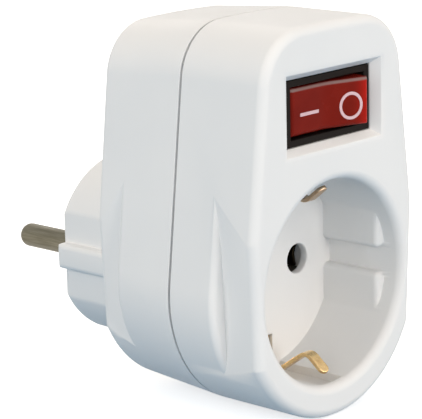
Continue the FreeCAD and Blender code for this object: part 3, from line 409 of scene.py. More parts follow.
@dataclass(frozen=True)
class LitPlastic:
    """Clear red plastic that a lamp behind one end of its face shines through.

    The face is a plane through an edge in the middle, and a pale strip along its upper edge is a painted
    highlight.
    """

    name: str
    colour: Colour
    deep: Colour
    glow: Colour
    painted_highlight_colour: Colour
    lit: tuple[float, float]
    face: tuple[float, float]
    face_depth: tuple[float, float]
    painted_highlight_band: tuple[float, float, float, float]
    specular: float = 0.03
    gather: float = 2.2
    least_glow: float = 0.7
    least_painted_highlight: float = 0.6
    smooth: float = 0.2
    rough: float = 0.34
    grain_depth: float = 0.000012

    def build(self) -> Material:
        """Builds the material: the glow grows towards the end that has the lamp."""
        material, tree, shader, place = start_material(self.name)
        grain = add_group(tree, EFFECTS.grain, place, Fine=1400.0, Slow=160.0)
        marks = add_group(tree, EFFECTS.handling, place, Size=160.0, Hair=2200.0)
        split = tree.node("SeparateXYZ")
        tree.link(place, split.inputs[0])
        middle_y, slope = self.face
        plane = tree.math("ADD", tree.math("MULTIPLY", split.outputs["X"], slope), middle_y)
        depth = tree.math("SUBTRACT", split.outputs["Y"], plane)
        facing = tree.span(depth, *self.face_depth, 1.0, 0.0)
        share = tree.math("POWER", tree.span(split.outputs["X"], *self.lit, 0.0, 1.0), self.gather)
        share = tree.math("MULTIPLY", share, facing)
        share = tree.math(
            "MULTIPLY", share, tree.span(grain.outputs["Tone"], 0.0, 1.0, self.least_glow, 1.0)
        )
        # Painted highlight: a pale strip is painted along the upper edge between these heights, and the glow
        # fades out where the strip starts.
        start, full, fade, end = self.painted_highlight_band
        share = tree.math("MULTIPLY", share, tree.span(split.outputs["Z"], start, full, 1.0, 0.0))
        painted_highlight_band = tree.math(
            "MULTIPLY",
            tree.span(split.outputs["Z"], start, full, 0.0, 1.0),
            tree.span(split.outputs["Z"], fade, end, 1.0, 0.0),
        )
        painted_highlight_band = tree.math(
            "MULTIPLY", painted_highlight_band, tree.span(grain.outputs["Tone"], 0.0, 1.0, self.least_painted_highlight, 1.0)
        )
        base = tree.mixed(grain.outputs["Tone"], self.deep, self.colour)
        tree.link(tree.mixed(painted_highlight_band, base, self.painted_highlight_colour), shader.inputs["Base Color"])
        tree.link(tree.mixed(share, (0.0, 0.0, 0.0), self.glow), shader.inputs["Emission Color"])
        shader.inputs["Emission Strength"].default_value = 1.0
        roughness = tree.span(marks.outputs["Smudge"], 0.0, 1.0, self.smooth, self.rough)
        tree.link(roughness, shader.inputs["Roughness"])
        add_bump(tree, grain.outputs["Height"], shader, self.grain_depth)
        shader.inputs["Specular IOR Level"].default_value = self.specular
        return material


@dataclass(frozen=True)
class DrawnMetal:
    """Metal with the fine lines of drawing or rolling and a light tarnish."""

    name: str
    bright: Colour
    dull: Colour
    smooth: float
    rough: float
    along: Axis = Axis.Y
    lines: float = 2500.0
    depth: float = 0.000015
    drawn_out: float = 0.06

    def build(self) -> Material:
        """Builds the material."""
        material, tree, shader, place = start_material(self.name)
        scale = [1.0, 1.0, 1.0]
        scale[self.along.value] = self.drawn_out
        drawn = tree.stretched(place, tuple(scale))
        lines = add_group(tree, EFFECTS.lines, drawn, Lines=self.lines, Tarnish=260.0)
        marks = add_group(tree, EFFECTS.handling, place, Size=220.0, Hair=3000.0)
        tree.link(tree.mixed(lines.outputs["Tarnish"], self.bright, self.dull), shader.inputs["Base Color"])
        worn = tree.math("MAXIMUM", lines.outputs["Tarnish"], marks.outputs["Smudge"])
        tree.link(tree.span(worn, 0.0, 1.0, self.smooth, self.rough), shader.inputs["Roughness"])
        add_bump(tree, lines.outputs["Height"], shader, self.depth)
        shader.inputs["Metallic"].default_value = 1.0
        return material


@dataclass(frozen=True)
class ClearGlass:
    """The thin glass of a small lamp, with faint smudges."""

    name: str
    colour: Colour
    smudge: Colour = (0.97, 0.95, 0.93)
    smooth: float = 0.03
    rough: float = 0.14
    index: float = 1.47

    def build(self) -> Material:
        """Builds the material."""
        material, tree, shader, place = start_material(self.name)
        marks = add_group(tree, EFFECTS.handling, place, Size=500.0, Hair=4000.0)
        smudged = tree.mixed(marks.outputs["Smudge"], self.colour, self.smudge)
        tree.link(smudged, shader.inputs["Base Color"])
        roughness = tree.span(marks.outputs["Smudge"], 0.0, 1.0, self.smooth, self.rough)
        tree.link(roughness, shader.inputs["Roughness"])
        shader.inputs["Transmission Weight"].default_value = 1.0
        shader.inputs["IOR"].default_value = self.index
        return material


@dataclass(frozen=True)
class GlowingMetal:
    """The electrodes of a lit neon lamp."""

    name: str
    metal: Colour
    glow: Colour
    worn_metal: Colour = (0.5, 0.42, 0.36)
    bright_glow: Colour = (1.0, 0.3, 0.06)
    strength: float = 2.0
    smooth: float = 0.35
    rough: float = 0.55

    def build(self) -> Material:
        """Builds the material: the glow is uneven over the rods."""
        material, tree, shader, place = start_material(self.name)
        grain = add_group(tree, EFFECTS.grain, place, Fine=2500.0, Slow=500.0)
        metal = tree.mixed(grain.outputs["Tone"], self.metal, self.worn_metal)
        tree.link(metal, shader.inputs["Base Color"])
        glow = tree.mixed(grain.outputs["Tone"], self.glow, self.bright_glow)
        tree.link(glow, shader.inputs["Emission Color"])
        shader.inputs["Emission Strength"].default_value = self.strength
        roughness = tree.span(grain.outputs["Height"], 0.3, 0.7, self.smooth, self.rough)
        tree.link(roughness, shader.inputs["Roughness"])
        return material


@dataclass(frozen=True)
class BandedLacquer:
    """A resistor's lacquer, with painted bands round its body."""

    name: str
    body: Colour
    bands: tuple[Colour, ...]
    start: float
    pitch: float
    width: float
    paler: float = 1.12
    smooth: float = 0.25
    rough: float = 0.4
    grain_depth: float = 0.00001

    def build(self) -> Material:
        """Builds the material: each band is a slice across the body's length."""
        material, tree, shader, place = start_material(self.name)
        grain = add_group(tree, EFFECTS.grain, place, Fine=2600.0, Slow=300.0)
        split = tree.node("SeparateXYZ")
        tree.link(place, split.inputs[0])
        paler = tuple(channel * self.paler for channel in self.body)
        colour = tree.mixed(grain.outputs["Tone"], self.body, paler)
        for i, band in enumerate(self.bands):
            middle = self.start + i * self.pitch
            away = tree.math("ABSOLUTE", tree.math("SUBTRACT", split.outputs["Y"], middle))
            colour = tree.mixed(tree.math("LESS_THAN", away, self.width / 2), colour, band)
        tree.link(colour, shader.inputs["Base Color"])
        roughness = tree.span(grain.outputs["Height"], 0.3, 0.7, self.smooth, self.rough)
        tree.link(roughness, shader.inputs["Roughness"])
        add_bump(tree, grain.outputs["Height"], shader, self.grain_depth)
        return material


def node_y(node: str) -> tuple[float, float]:
    """Where a CAD node starts and ends along Y."""
    low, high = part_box(node)
    return low.y, high.y


def make_finishes() -> dict[Slot, Material]:
    """Builds the material of every slot.

    Returns:
        The material for each slot.
    """
    resistor_start, resistor_end = node_y("lamp_resistor")
    band_pitch = (resistor_end - resistor_start) / 5
    rocker_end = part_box("rocker")[1].x
    recipes = {
        Slot.SHELL: MouldedPlastic(
            "shell_white", (0.80, 0.80, 0.795), (0.77, 0.775, 0.775), 0.45, 0.55, 0.000006, specular=0.15
        ),
        Slot.INSULATOR: MouldedPlastic(
            "insulator", (0.62, 0.58, 0.50), (0.52, 0.48, 0.41), 0.55, 0.68, 0.00002, 1800.0
        ),
        Slot.SWITCH: MouldedPlastic(
            "switch_black", (0.012, 0.009, 0.008), (0.009, 0.007, 0.006), 0.3, 0.45, 0.000008, specular=0.04
        ),
        Slot.ROCKER: LitPlastic(
            "rocker_red",
            colour=(0.20, 0.014, 0.008),
            deep=(0.16, 0.010, 0.006),
            glow=(0.55, 0.0, 0.0),
            # painted highlight: the pale strip along the rocker's upper edge, its colour and its heights
            painted_highlight_colour=(0.27, 0.19, 0.18),
            lit=(rocker_end - 5.5 * MM, rocker_end - 0.5 * MM),
            face=(-55.94 * MM, -0.25),
            face_depth=(0.2 * MM, 1.0 * MM),
            painted_highlight_band=tuple(v * MM for v in (37.85, 38.1, 38.35, 38.5)),
        ),
        Slot.MARK: MouldedPlastic(
            "mark_white", (0.68, 0.47, 0.50), (0.60, 0.40, 0.44), 0.4, 0.5, 0.000006, 4000.0
        ),
        Slot.PIN: DrawnMetal(
            "pin_nickel", (0.20, 0.185, 0.14), (0.11, 0.10, 0.07), 0.4, 0.55, Axis.Y, 2200.0, 0.00003
        ),
        Slot.BRASS: DrawnMetal(
            "contact_brass", (0.95, 0.70, 0.35), (0.66, 0.42, 0.19), 0.15, 0.32, Axis.Y, 3000.0
        ),
        Slot.RIVET: DrawnMetal("rivet_metal", (0.60, 0.59, 0.57), (0.42, 0.41, 0.40), 0.25, 0.45, Axis.Z),
        Slot.SILVER: DrawnMetal(
            "contact_silver", (0.86, 0.85, 0.82), (0.66, 0.64, 0.60), 0.15, 0.35, Axis.X
        ),
        Slot.SCREW: DrawnMetal(
            "screw_steel", (0.62, 0.62, 0.64), (0.42, 0.43, 0.46), 0.28, 0.5, Axis.Y, 2000.0
        ),
        Slot.SPRING: DrawnMetal(
            "spring_steel", (0.50, 0.50, 0.52), (0.32, 0.32, 0.34), 0.25, 0.4, Axis.X, 4000.0
        ),
        Slot.GLASS: ClearGlass("lamp_glass", (1.0, 0.985, 0.96)),
        Slot.TIN: DrawnMetal(
            "lead_tin", (0.70, 0.70, 0.69), (0.50, 0.50, 0.50), 0.25, 0.45, Axis.Y, 3500.0
        ),
        Slot.RESISTOR: BandedLacquer(
            "resistor_body", (0.55, 0.40, 0.25),
            ((0.30, 0.09, 0.03), (0.02, 0.02, 0.02), (0.62, 0.42, 0.02), (0.55, 0.40, 0.12)),
            resistor_start + band_pitch, band_pitch, band_pitch / 2,
        ),
        Slot.WIRE: MouldedPlastic(
            "wire_blue", (0.035, 0.12, 0.38), (0.025, 0.09, 0.30), 0.35, 0.5, 0.00001, 2500.0
        ),
    }
    return {slot: recipe.build() for slot, recipe in recipes.items()}


FINISHES = make_finishes()
UPRIGHT_BRASS = DrawnMetal(
    "contact_brass_upright", (0.95, 0.70, 0.35), (0.66, 0.42, 0.19), 0.15, 0.32, Axis.Z, 3000.0
).build()
# Painted shade: a duller, greyer copy of the brass for the top earth spring, which is the same brass in less
# light.
SHADED_TOP_BRASS = DrawnMetal(
    "contact_brass_painted_shade", (0.52, 0.43, 0.32), (0.42, 0.27, 0.16), 0.25, 0.45, Axis.Y, 3000.0
).build()
# Painted shade: brass painted almost black for the pin grips, so that the pin holes show dark where the shade
# inside them falls.
HOLE_SHADE_BRASS = DrawnMetal(
    "contact_brass_painted_hole_shade", (0.035, 0.026, 0.014), (0.015, 0.012, 0.008), 0.4, 0.6, Axis.Y, 3000.0
).build()
ELECTRODES = GlowingMetal("lit_electrodes", (0.62, 0.55, 0.50), (1.0, 0.22, 0.03)).build()


def dress_node(node: str, finish: Material) -> None:
    """Gives a CAD node that stays as it is a finish.

    Args:
        node: the node's name.
        finish: its material.
    """
    mesh = frame["nodes"][node].data
    mesh.materials.clear()
    mesh.materials.append(finish)
    LOG.info("%s: CAD solid, finish %s", node, finish.name)


@dataclass(frozen=True)
class Easing:
    """How sharp edges are softened: the width in millimetres, and which edges count as sharp.

    Edges beside a face smaller than `least_face`, in square millimetres, are left as they are.
    """

    width: float = 0.2
    sharp_deg: float = 32.0
    segments: int = 2
    least_face: float = 0.0


class Shape:
    """A mesh while it is being shaped, which becomes one piece."""

    merge = 0.0005 * MM
    flat_deg = 0.2
    bar_depth = 2.76 * MM
    spare = 0.05 * MM

    def __init__(self, node: str | None = None) -> None:
        """Starts empty, or from a merged copy of a CAD node.

        Args:
            node: the CAD node to copy.
        """
        self.bm = bmesh.new()
        if node:
            self.bm.from_mesh(frame["nodes"][node].data)
            bmesh.ops.remove_doubles(self.bm, verts=self.bm.verts, dist=self.merge)
            bmesh.ops.dissolve_limit(
                self.bm, angle_limit=math.radians(self.flat_deg), verts=self.bm.verts, edges=self.bm.edges
            )

    def spin(
        self, profile: Sequence[tuple[float, float]], centre: Vector, axis: Axis, steps: int = 48
    ) -> "Shape":
        """Adds a solid turned round an axis.

        Args:
            profile: its outline, as radius and place along the axis in millimetres.
            centre: a point on the axis, in millimetres.
            axis: the axis.
            steps: how many faces go round it.

        Returns:
            The shape itself.
        """
        turned = bmesh.new()
        middle = centre * MM
        outline = [middle + (axis.vector * along + axis.beside * out) * MM for out, along in profile]
        points = [turned.verts.new(point) for point in outline]
        edges = [turned.edges.new(pair) for pair in zip(points, points[1:])]
        bmesh.ops.spin(
            turned, geom=points + edges, cent=middle, axis=axis.vector, angle=math.tau, steps=steps,
            use_merge=True,
        )
        bmesh.ops.remove_doubles(turned, verts=turned.verts, dist=self.merge)
        bmesh.ops.recalc_face_normals(turned, faces=turned.faces)
        self.take(turned)
        return self

    def coil(self, radius: float, wire: float, turns: int, centre: Vector, length: float) -> "Shape":
        """Adds a coiled wire along Y.

        Args:
            radius: from the axis to the middle of the wire, in millimetres.
            wire: the wire's radius, in millimetres.
            turns: how often it goes round.
            centre: where it starts on its axis, in millimetres.
            length: how long it is, in millimetres.

        Returns:
            The shape itself.
        """
        steps = turns * 20
        coiled = bmesh.new()
        place = Matrix.Translation((centre + Vector((radius, 0.0, 0.0))) * MM)
        ring = bmesh.ops.create_circle(coiled, cap_ends=True, radius=wire * MM, segments=8, matrix=place)
        faces = list({face for vert in ring["verts"] for face in vert.link_faces})
        bmesh.ops.spin(
            coiled, geom=faces, cent=centre * MM, axis=(0.0, 1.0, 0.0),
            dvec=(0.0, length * MM / steps, 0.0), angle=math.tau * turns, steps=steps,
        )
        bmesh.ops.remove_doubles(coiled, verts=coiled.verts, dist=self.merge)
        bmesh.ops.recalc_face_normals(coiled, faces=coiled.faces)
        self.take(coiled)
        return self

    def take(self, other: bmesh.types.BMesh) -> None:
        """Adds another mesh to this one, and frees it.

        Args:
            other: the mesh to add.
        """
        mesh = bpy.data.meshes.new("taken")
        other.to_mesh(mesh)
        other.free()
        self.bm.from_mesh(mesh)
        bpy.data.meshes.remove(mesh)

    def turn(self, degrees: float, about: Vector) -> "Shape":
        """Turns the shape round an upright line through a point in millimetres."""
        turning = Matrix.Rotation(math.radians(degrees), 3, "Z")
        bmesh.ops.rotate(self.bm, verts=self.bm.verts, cent=about * MM, matrix=turning)
        return self

    def ease(self, easing: Easing, where: Callable[[Vector], bool] | None = None) -> "Shape":
        """Softens sharp edges.

        Args:
            easing: how wide the softened edges are, and which are sharp.
            where: says of an edge's middle, in millimetres, if the edge is one to soften.

        Returns:
            The shape itself.
        """
        limit = math.radians(easing.sharp_deg)
        least = easing.least_face * MM * MM
        chosen = []
        for edge in self.bm.edges:
            if len(edge.link_faces) != 2 or edge.calc_face_angle(0.0) <= limit:
                continue
            middle = (edge.verts[0].co + edge.verts[1].co) / (2 * MM)
            roomy = least == 0.0 or min(face.calc_area() for face in edge.link_faces) > least
            if roomy and (where is None or where(middle)):
                chosen.append(edge)
        bmesh.ops.bevel(
            self.bm, geom=chosen, offset=easing.width * MM, offset_type="OFFSET", segments=easing.segments,
            profile=0.5, affect="EDGES", clamp_overlap=False, material=-1,
        )
        return self

    def slide(self, distance: Vector, where: Callable[[Vector], bool]) -> "Shape":
        """Slides some of its corners along.

        Args:
            distance: how far, in millimetres.
            where: says of a corner, in millimetres, if it is one to slide.

        Returns:
            The shape itself.
        """
        chosen = [vert for vert in self.bm.verts if where(vert.co / MM)]
        bmesh.ops.translate(self.bm, verts=chosen, vec=distance * MM)
        return self

    def round_bars(
        self, corner: tuple[float, float], radius: float, start_y: float, steps: int = 5
    ) -> "Shape":
        """Rounds the four long corners of the bars along Y at both sides of the middle.

        Args:
            corner: how far the corners are from the middle along X and Z, in millimetres.
            radius: the rounding's radius, in millimetres.
            start_y: where the bars start along Y, in millimetres. They run to the highest Y.
            steps: how many cuts are made across each side of a corner.

        Returns:
            The shape itself.
        """
        middle_x, middle_z = ((edge - radius) * MM for edge in corner)
        reach = radius * MM
        start = start_y * MM
        for step in range(steps):
            angle = math.radians(90.0 * step / steps)
            for sign in (1.0, -1.0):
                self.slice_bars(Vector((sign * (middle_x + reach * math.cos(angle)), 0, 0)), corner, start)
                self.slice_bars(Vector((0, 0, sign * (middle_z + reach * math.sin(angle)))), corner, start)
        for vert in self.bm.verts:
            out = abs(vert.co.x) - middle_x
            up = abs(vert.co.z) - middle_z
            far = math.hypot(out, up)
            if vert.co.y > start and out > 0.0 and 0.0 < up < 2 * reach and far > reach:
                vert.co.x = math.copysign(middle_x + out * reach / far, vert.co.x)
                vert.co.z = math.copysign(middle_z + up * reach / far, vert.co.z)
        bmesh.ops.remove_doubles(self.bm, verts=self.bm.verts, dist=self.merge)
        return self

    def slice_bars(self, place: Vector, corner: tuple[float, float], start: float) -> None:
        """Cuts the faces of the bars along a plane through a point, across the line to that point.

        Args:
            place: the point, in metres.
            corner: how far the bars' corners are from the middle along X and Z, in millimetres.
            start: where the bars start along Y, in metres.
        """
        wide, high = (edge * MM for edge in corner)

        def inside(vert: bmesh.types.BMVert) -> bool:
            x, y, z = vert.co
            return abs(x) > wide - self.bar_depth and abs(z) < high + self.spare and y > start

        faces = [face for face in self.bm.faces if all(inside(vert) for vert in face.verts)]
        edges = {edge for face in faces for edge in face.edges}
        verts = {vert for face in faces for vert in face.verts}
        bmesh.ops.bisect_plane(
            self.bm, geom=[*verts, *edges, *faces], dist=self.merge,
            plane_co=place, plane_no=place.normalized(),
        )

    def piece(
        self, name: str, nodes: Sequence[str], body: Body, slot: Slot, finish: Material | None = None
    ) -> bpy.types.Object:
        """Makes the shape a piece.

        Args:
            name: the piece's name.
            nodes: the CAD nodes it stands for.
            body: the body it rides on.
            slot: the record's finish.
            finish: its material, where that isn't the slot's usual one.

        Returns:
            The piece.
        """
        mesh = bpy.data.meshes.new(name)
        self.bm.to_mesh(mesh)
        self.bm.free()
        mesh.materials.append(finish or FINISHES[slot])
        mesh.polygons.foreach_set("use_smooth", [True] * len(mesh.polygons))
        piece = bpy.data.objects.new(name, mesh)
        bpy.context.scene.collection.objects.link(piece)
        weighted = piece.modifiers.new("even_shading", "WEIGHTED_NORMAL")
        weighted.keep_sharp = True
        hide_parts(*nodes)
        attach(piece, body.value)
        LOG.info("%s: %d faces, rides on %s", name, len(mesh.polygons), body.value)
        return piece


@dataclass(frozen=True)
class EasedPart:
    """A piece in the form of a CAD node, with its sharp edges softened."""

    name: str
    node: str
    slot: Slot
    easing: Easing = Easing()
    body: Body = Body.HOUSING

    def build(self, finish: Material | None = None) -> bpy.types.Object:
        """Builds the piece."""
        return Shape(self.node).ease(self.easing).piece(self.name, (self.node,), self.body, self.slot, finish)


@dataclass
class Camera:
    """The photograph's camera, in millimetres and degrees, and what it sees, in metres."""

    place: Point = (-308.18, -310.63, 110.14)
    azimuth: float = -47.249
    elevation: float = 13.457
    roll: float = -1.307
    focal_px: float = 2179.4
    sensor: float = 36.0
    seen_from: float = 0.01
    seen_to: float = 20.0

    def build(self) -> bpy.types.Object:
        """Sets the scene's camera.

        Returns:
            The camera.
        """
        data = bpy.data.cameras.new("camera")
        data.sensor_width = self.sensor
        data.lens = self.focal_px * self.sensor / PICTURE_WIDTH
        data.clip_start = self.seen_from
        data.clip_end = self.seen_to
        turn, lift, roll = (math.radians(v) for v in (self.azimuth, self.elevation, self.roll))
        back = Vector((math.sin(turn) * math.cos(lift), -math.cos(turn) * math.cos(lift), math.sin(lift)))
        right = Vector((0, 0, 1)).cross(back).normalized()
        up = back.cross(right)
        level = right.copy()
        right = math.cos(roll) * level + math.sin(roll) * up
        up = -math.sin(roll) * level + math.cos(roll) * up
        camera = bpy.data.objects.new("camera", data)
        axes = Matrix((right, up, back)).transposed().to_4x4()
        camera.matrix_world = Matrix.Translation(Vector(self.place) * MM) @ axes
        bpy.context.scene.collection.objects.link(camera)
        bpy.context.scene.camera = camera
        return camera


@dataclass(frozen=True)
class Lamp:
    """A soft square lamp that faces the object. In metres and watts."""

    name: str
    place: Point
    size: float
    power: float
    colour: Colour = (1.0, 0.945, 0.885)

    def build(self) -> None:
        """Builds the lamp."""
        data = bpy.data.lights.new(self.name, "AREA")
        data.color = self.colour
        data.shape = "SQUARE"
        data.size = self.size
        data.energy = self.power
        lamp = bpy.data.objects.new(self.name, data)
        lamp.location = self.place
        lamp.rotation_euler = (-Vector(self.place)).to_track_quat("-Z", "Y").to_euler()
        bpy.context.scene.collection.objects.link(lamp)


@dataclass
class Studio:
    """A pale floor and soft, plain light. Sizes in metres."""

    floor_size: float = 6.0
    floor_z: float = 0.0
    floor_colour: Colour = (0.03, 0.20, 0.37)
    floor_seen: float = 0.62
    floor_pale: Colour = (0.9, 0.9, 0.9)
    floor_roughness: float = 0.9
    ambient: Colour = (1.0, 0.95, 0.89)
    ambient_level: float = 0.44
    lamps: tuple[Lamp, ...] = (
        Lamp("key_lamp", (-1.3, -0.75, 0.5), 0.9, 5.8),
        Lamp("left_lamp", (-1.5, 0.2, 0.5), 0.9, 9.0),
        Lamp("front_lamp", (-0.1, -1.6, 0.15), 0.7, 15.5, (1.0, 0.912, 0.836)),
        Lamp("right_lamp", (0.9, -1.3, 0.5), 0.9, 6.8),
        Lamp("top_lamp", (-0.2, 0.2, 1.3), 1.0, 2.6),
        Lamp("back_lamp", (0.9, 1.1, 1.0), 0.9, 5.5),
    )

    def build(self) -> None:
        """Builds the floor, the world and the lamps, and shows colours as they are written."""
        bpy.context.scene.view_settings.view_transform = "Standard"
        self.build_floor()
        self.build_world()
        for lamp in self.lamps:
            lamp.build()

    def build_floor(self) -> None:
        """A wide floor that looks white and keeps the object's shadow."""
        bm = bmesh.new()
        bmesh.ops.create_grid(bm, x_segments=1, y_segments=1, size=self.floor_size / 2)
        bmesh.ops.translate(bm, verts=bm.verts, vec=(0, 0, self.floor_z))
        mesh = bpy.data.meshes.new("floor")
        bm.to_mesh(mesh)
        bm.free()
        floor = bpy.data.objects.new("floor", mesh)
        bpy.context.scene.collection.objects.link(floor)
        material = bpy.data.materials.new("floor")
        material.use_nodes = True
        nodes = material.node_tree.nodes
        nodes.clear()
        tree = Tree(material.node_tree)
        seen = tree.node("BsdfPrincipled")
        seen.inputs["Base Color"].default_value = (*self.floor_pale, 1.0)
        seen.inputs["Roughness"].default_value = self.floor_roughness
        seen.inputs["Specular IOR Level"].default_value = 0.0
        seen.inputs["Emission Color"].default_value = (1.0, 1.0, 1.0, 1.0)
        seen.inputs["Emission Strength"].default_value = self.floor_seen
        unseen = tree.node("BsdfDiffuse")
        unseen.inputs["Color"].default_value = (*self.floor_colour, 1.0)
        chosen = tree.node("MixShader")
        tree.link(self.seen_ray(tree), chosen.inputs[0])
        tree.link(unseen.outputs[0], chosen.inputs[1])
        tree.link(seen.outputs[0], chosen.inputs[2])
        tree.link(chosen.outputs[0], tree.node("OutputMaterial").inputs["Surface"])
        mesh.materials.append(material)

    @staticmethod
    def seen_ray(tree: Tree) -> Socket:
        """Is 1 for what the camera sees, directly, mirrored or through glass."""
        path = tree.node("LightPath")
        either = tree.math("MAXIMUM", path.outputs["Is Camera Ray"], path.outputs["Is Glossy Ray"])
        return tree.math("MAXIMUM", either, path.outputs["Is Transmission Ray"])

    def build_world(self) -> None:
        """A white backdrop for the camera, and a plain soft light for the object."""
        world = bpy.data.worlds.new("studio")
        bpy.context.scene.world = world
        world.use_nodes = True
        nodes = world.node_tree.nodes
        nodes.clear()
        tree = Tree(world.node_tree)
        seen = tree.node("Background")
        seen.inputs["Color"].default_value = (1.0, 1.0, 1.0, 1.0)
        seen.inputs["Strength"].default_value = 1.0
        light = tree.node("Background")
        light.inputs["Color"].default_value = (*self.ambient, 1.0)
        light.inputs["Strength"].default_value = self.ambient_level
        chosen = tree.node("MixShader")
        tree.link(self.seen_ray(tree), chosen.inputs[0])
        tree.link(light.outputs[0], chosen.inputs[1])
        tree.link(seen.outputs[0], chosen.inputs[2])
        tree.link(chosen.outputs[0], tree.node("OutputWorld").inputs["Surface"])


@dataclass
class Housing:
    """The two halves of the case, and the screws that hold them together. Sizes in millimetres."""

    rib_corner: tuple[float, float] = (18.42, 2.65)
    rib_round: float = 1.2
    rib_start_y: float = -17.52
    rib_root: tuple[float, float] = (16.2, 17.0)
    rib_end_y: float = -1.5
    root_edge: Easing = Easing(0.35, segments=3)
    seam_edge: Easing = Easing(0.2, segments=3)
    shell_edge: Easing = Easing(0.12, least_face=0.2)
    seam: tuple[float, float] = (-37.75, -37.25)
    reach: float = 0.2
    seam_reach: float = 0.02
    groove_half: float = 2.5
    groove_reach: float = 19.4
    groove_end_y: float = -52.6
    groove_ramp: float = 3.0
    screw_edge: Easing = Easing(0.12)

    def build(self) -> None:
        """Builds the shells and the screws."""
        front = Shape("front_shell").slide(Vector((0.0, self.groove_ramp, 0.0)), self.on_groove_end)
        front.ease(self.seam_edge, self.on_seam).ease(self.shell_edge)
        front.piece("case_front", ("front_shell",), Body.HOUSING, Slot.SHELL)
        back = Shape("rear_shell").round_bars(self.rib_corner, self.rib_round, self.rib_start_y)
        back.ease(self.root_edge, self.on_rib_root).ease(self.seam_edge, self.on_seam).ease(self.shell_edge)
        back.piece("case_back", ("rear_shell",), Body.HOUSING, Slot.SHELL)
        EasedPart("cross_head_screws", "case_screws", Slot.SCREW, self.screw_edge).build()

    def on_seam(self, point: Vector) -> bool:
        """Whether a point is on an edge of the seam between the two halves."""
        return min(abs(point.y - edge) for edge in self.seam) < self.seam_reach

    def on_groove_end(self, point: Vector) -> bool:
        """Whether a point is on the edge where the floor of a groove in the well ends."""
        within = abs(point.z) < self.groove_half + self.seam_reach
        at_end = abs(point.y - self.groove_end_y) < self.seam_reach
        return within and at_end and abs(abs(point.x) - self.groove_reach) < self.seam_reach

    def on_rib_root(self, point: Vector) -> bool:
        """Whether a point is on the long corners where the ribs stand on the plug's flats."""
        beside = abs(abs(point.z) - self.rib_corner[1]) < self.reach and point.y < self.rib_end_y
        return beside and self.rib_root[0] < abs(point.x) < self.rib_root[1]


@dataclass
class PinPair:
    """The plug's two pins, turned from bar. Sizes in millimetres."""

    spacing: float = 19.0
    profile: tuple[tuple[float, float], ...] = (
        (0.0, -11.9), (2.0, -11.9), (2.0, -11.2), (1.5, -11.2), (1.5, -10.4), (3.6, -10.4),
        (3.6, -9.0), (2.8, -9.0), (2.8, 0.0), (2.4, 0.0), (2.4, 18.5), (0.0, 18.5),
    )
    tip_y: float = 18.5
    tip_round: Easing = Easing(1.95, segments=8)
    edge: Easing = Easing(0.1)
    steps: int = 64

    def build(self) -> None:
        """Builds both pins."""
        for name, node, side in (("live_pin", "line_pin", 0.5), ("other_pin", "neutral_pin", -0.5)):
            centre = Vector((side * self.spacing, 0.0, 0.0))
            shape = Shape().spin(self.profile, centre, Axis.Y, self.steps)
            shape.ease(self.tip_round, lambda point: abs(point.y - self.tip_y) < NEAR_MM)
            shape.ease(self.edge).piece(name, (node,), Body.HOUSING, Slot.PIN)


@dataclass
class Rivets:
    """Rivets with domed heads that fill the box of a CAD node. Sizes in millimetres."""

    name: str
    node: str
    axis: Axis
    apart: Axis
    shank_radius: float = 1.1
    head_radius: float = 1.8
    head_length: float = 0.7
    dome: Easing = Easing(0.42, segments=4)
    steps: int = 32

    def build(self) -> None:
        """Builds the rivets, one at each end of the box."""
        low, high = (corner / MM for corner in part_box(self.node))
        start, stop = low[self.axis.value], high[self.axis.value]
        head, shank, length = self.head_radius, self.shank_radius, self.head_length
        profile = (
            (0.0, start), (head, start), (head, start + length), (shank, start + length),
            (shank, stop - length), (head, stop - length), (head, stop), (0.0, stop),
        )
        shape = Shape()
        along = self.axis.vector
        for end, side in ((low, 1), (high, -1)):
            centre = (low + high) / 2
            centre[self.apart.value] = end[self.apart.value] + side * head
            shape.spin(profile, centre - along * centre.dot(along), self.axis, self.steps)
        outer = (start, stop)
        shape.ease(self.dome, lambda point: min(abs(point.dot(along) - edge) for edge in outer) < NEAR_MM)
        shape.piece(self.name, (self.node,), Body.HOUSING, Slot.RIVET)


@dataclass
class EarthCircuit:
    """The earth springs of the socket, the earth contacts of the plug, and what joins them."""

    spring_edge: Easing = Easing(0.16)
    contact_edge: Easing = Easing(0.14)

    def build(self) -> None:
        """Builds the springs, the contacts, their bridge and its rivets."""
        # The top spring takes the duller copy of the brass, a painted shade.
        for end, finish in (("top", SHADED_TOP_BRASS), ("bottom", None)):
            spring = EasedPart(
                f"earth_spring_{end}", f"socket_earth_clip_{end}", Slot.BRASS, self.spring_edge
            )
            spring.build(finish)
            contact = EasedPart(
                f"earth_strip_{end}", f"plug_earth_contact_{end}", Slot.BRASS, self.contact_edge
            )
            contact.build()
        EasedPart("earth_bridge_plate", "earth_bridge", Slot.BRASS, self.contact_edge).build(UPRIGHT_BRASS)
        Rivets("earth_joint_rivets", "earth_rivets", Axis.Y, Axis.Z).build()


@dataclass
class LiveCircuit:
    """The socket's pin contacts, and the bars between them, the pins and the switch."""

    contact_edge: Easing = Easing(0.12)
    bar_edge: Easing = Easing(0.14)

    def build(self) -> None:
        """Builds the contacts, the bars and their rivets."""
        # The pin grips take brass painted almost black, a painted shade for the inside of the pin holes.
        EasedPart("live_pin_grip", "line_contact", Slot.BRASS, self.contact_edge).build(HOLE_SHADE_BRASS)
        EasedPart("other_pin_grip", "neutral_contact", Slot.BRASS, self.contact_edge).build(HOLE_SHADE_BRASS)
        EasedPart("bar_from_pin", "line_in_bar", Slot.BRASS, self.bar_edge).build(UPRIGHT_BRASS)
        EasedPart("bar_to_socket", "line_out_bar", Slot.BRASS, self.bar_edge).build(UPRIGHT_BRASS)
        EasedPart("bar_other_side", "neutral_bar", Slot.BRASS, self.bar_edge).build()
        Rivets("contact_joint_rivets", "contact_rivets", Axis.Z, Axis.X).build()


@dataclass
class Mouldings:
    """The plate that holds the pins, and the carrier behind the contacts."""

    plate_edge: Easing = Easing(0.25)
    carrier_edge: Easing = Easing(0.12)

    def build(self) -> None:
        """Builds both mouldings."""
        EasedPart("pin_plate", "pin_clamp", Slot.INSULATOR, self.plate_edge).build()
        EasedPart("carrier", "contact_carrier", Slot.INSULATOR, self.carrier_edge).build()


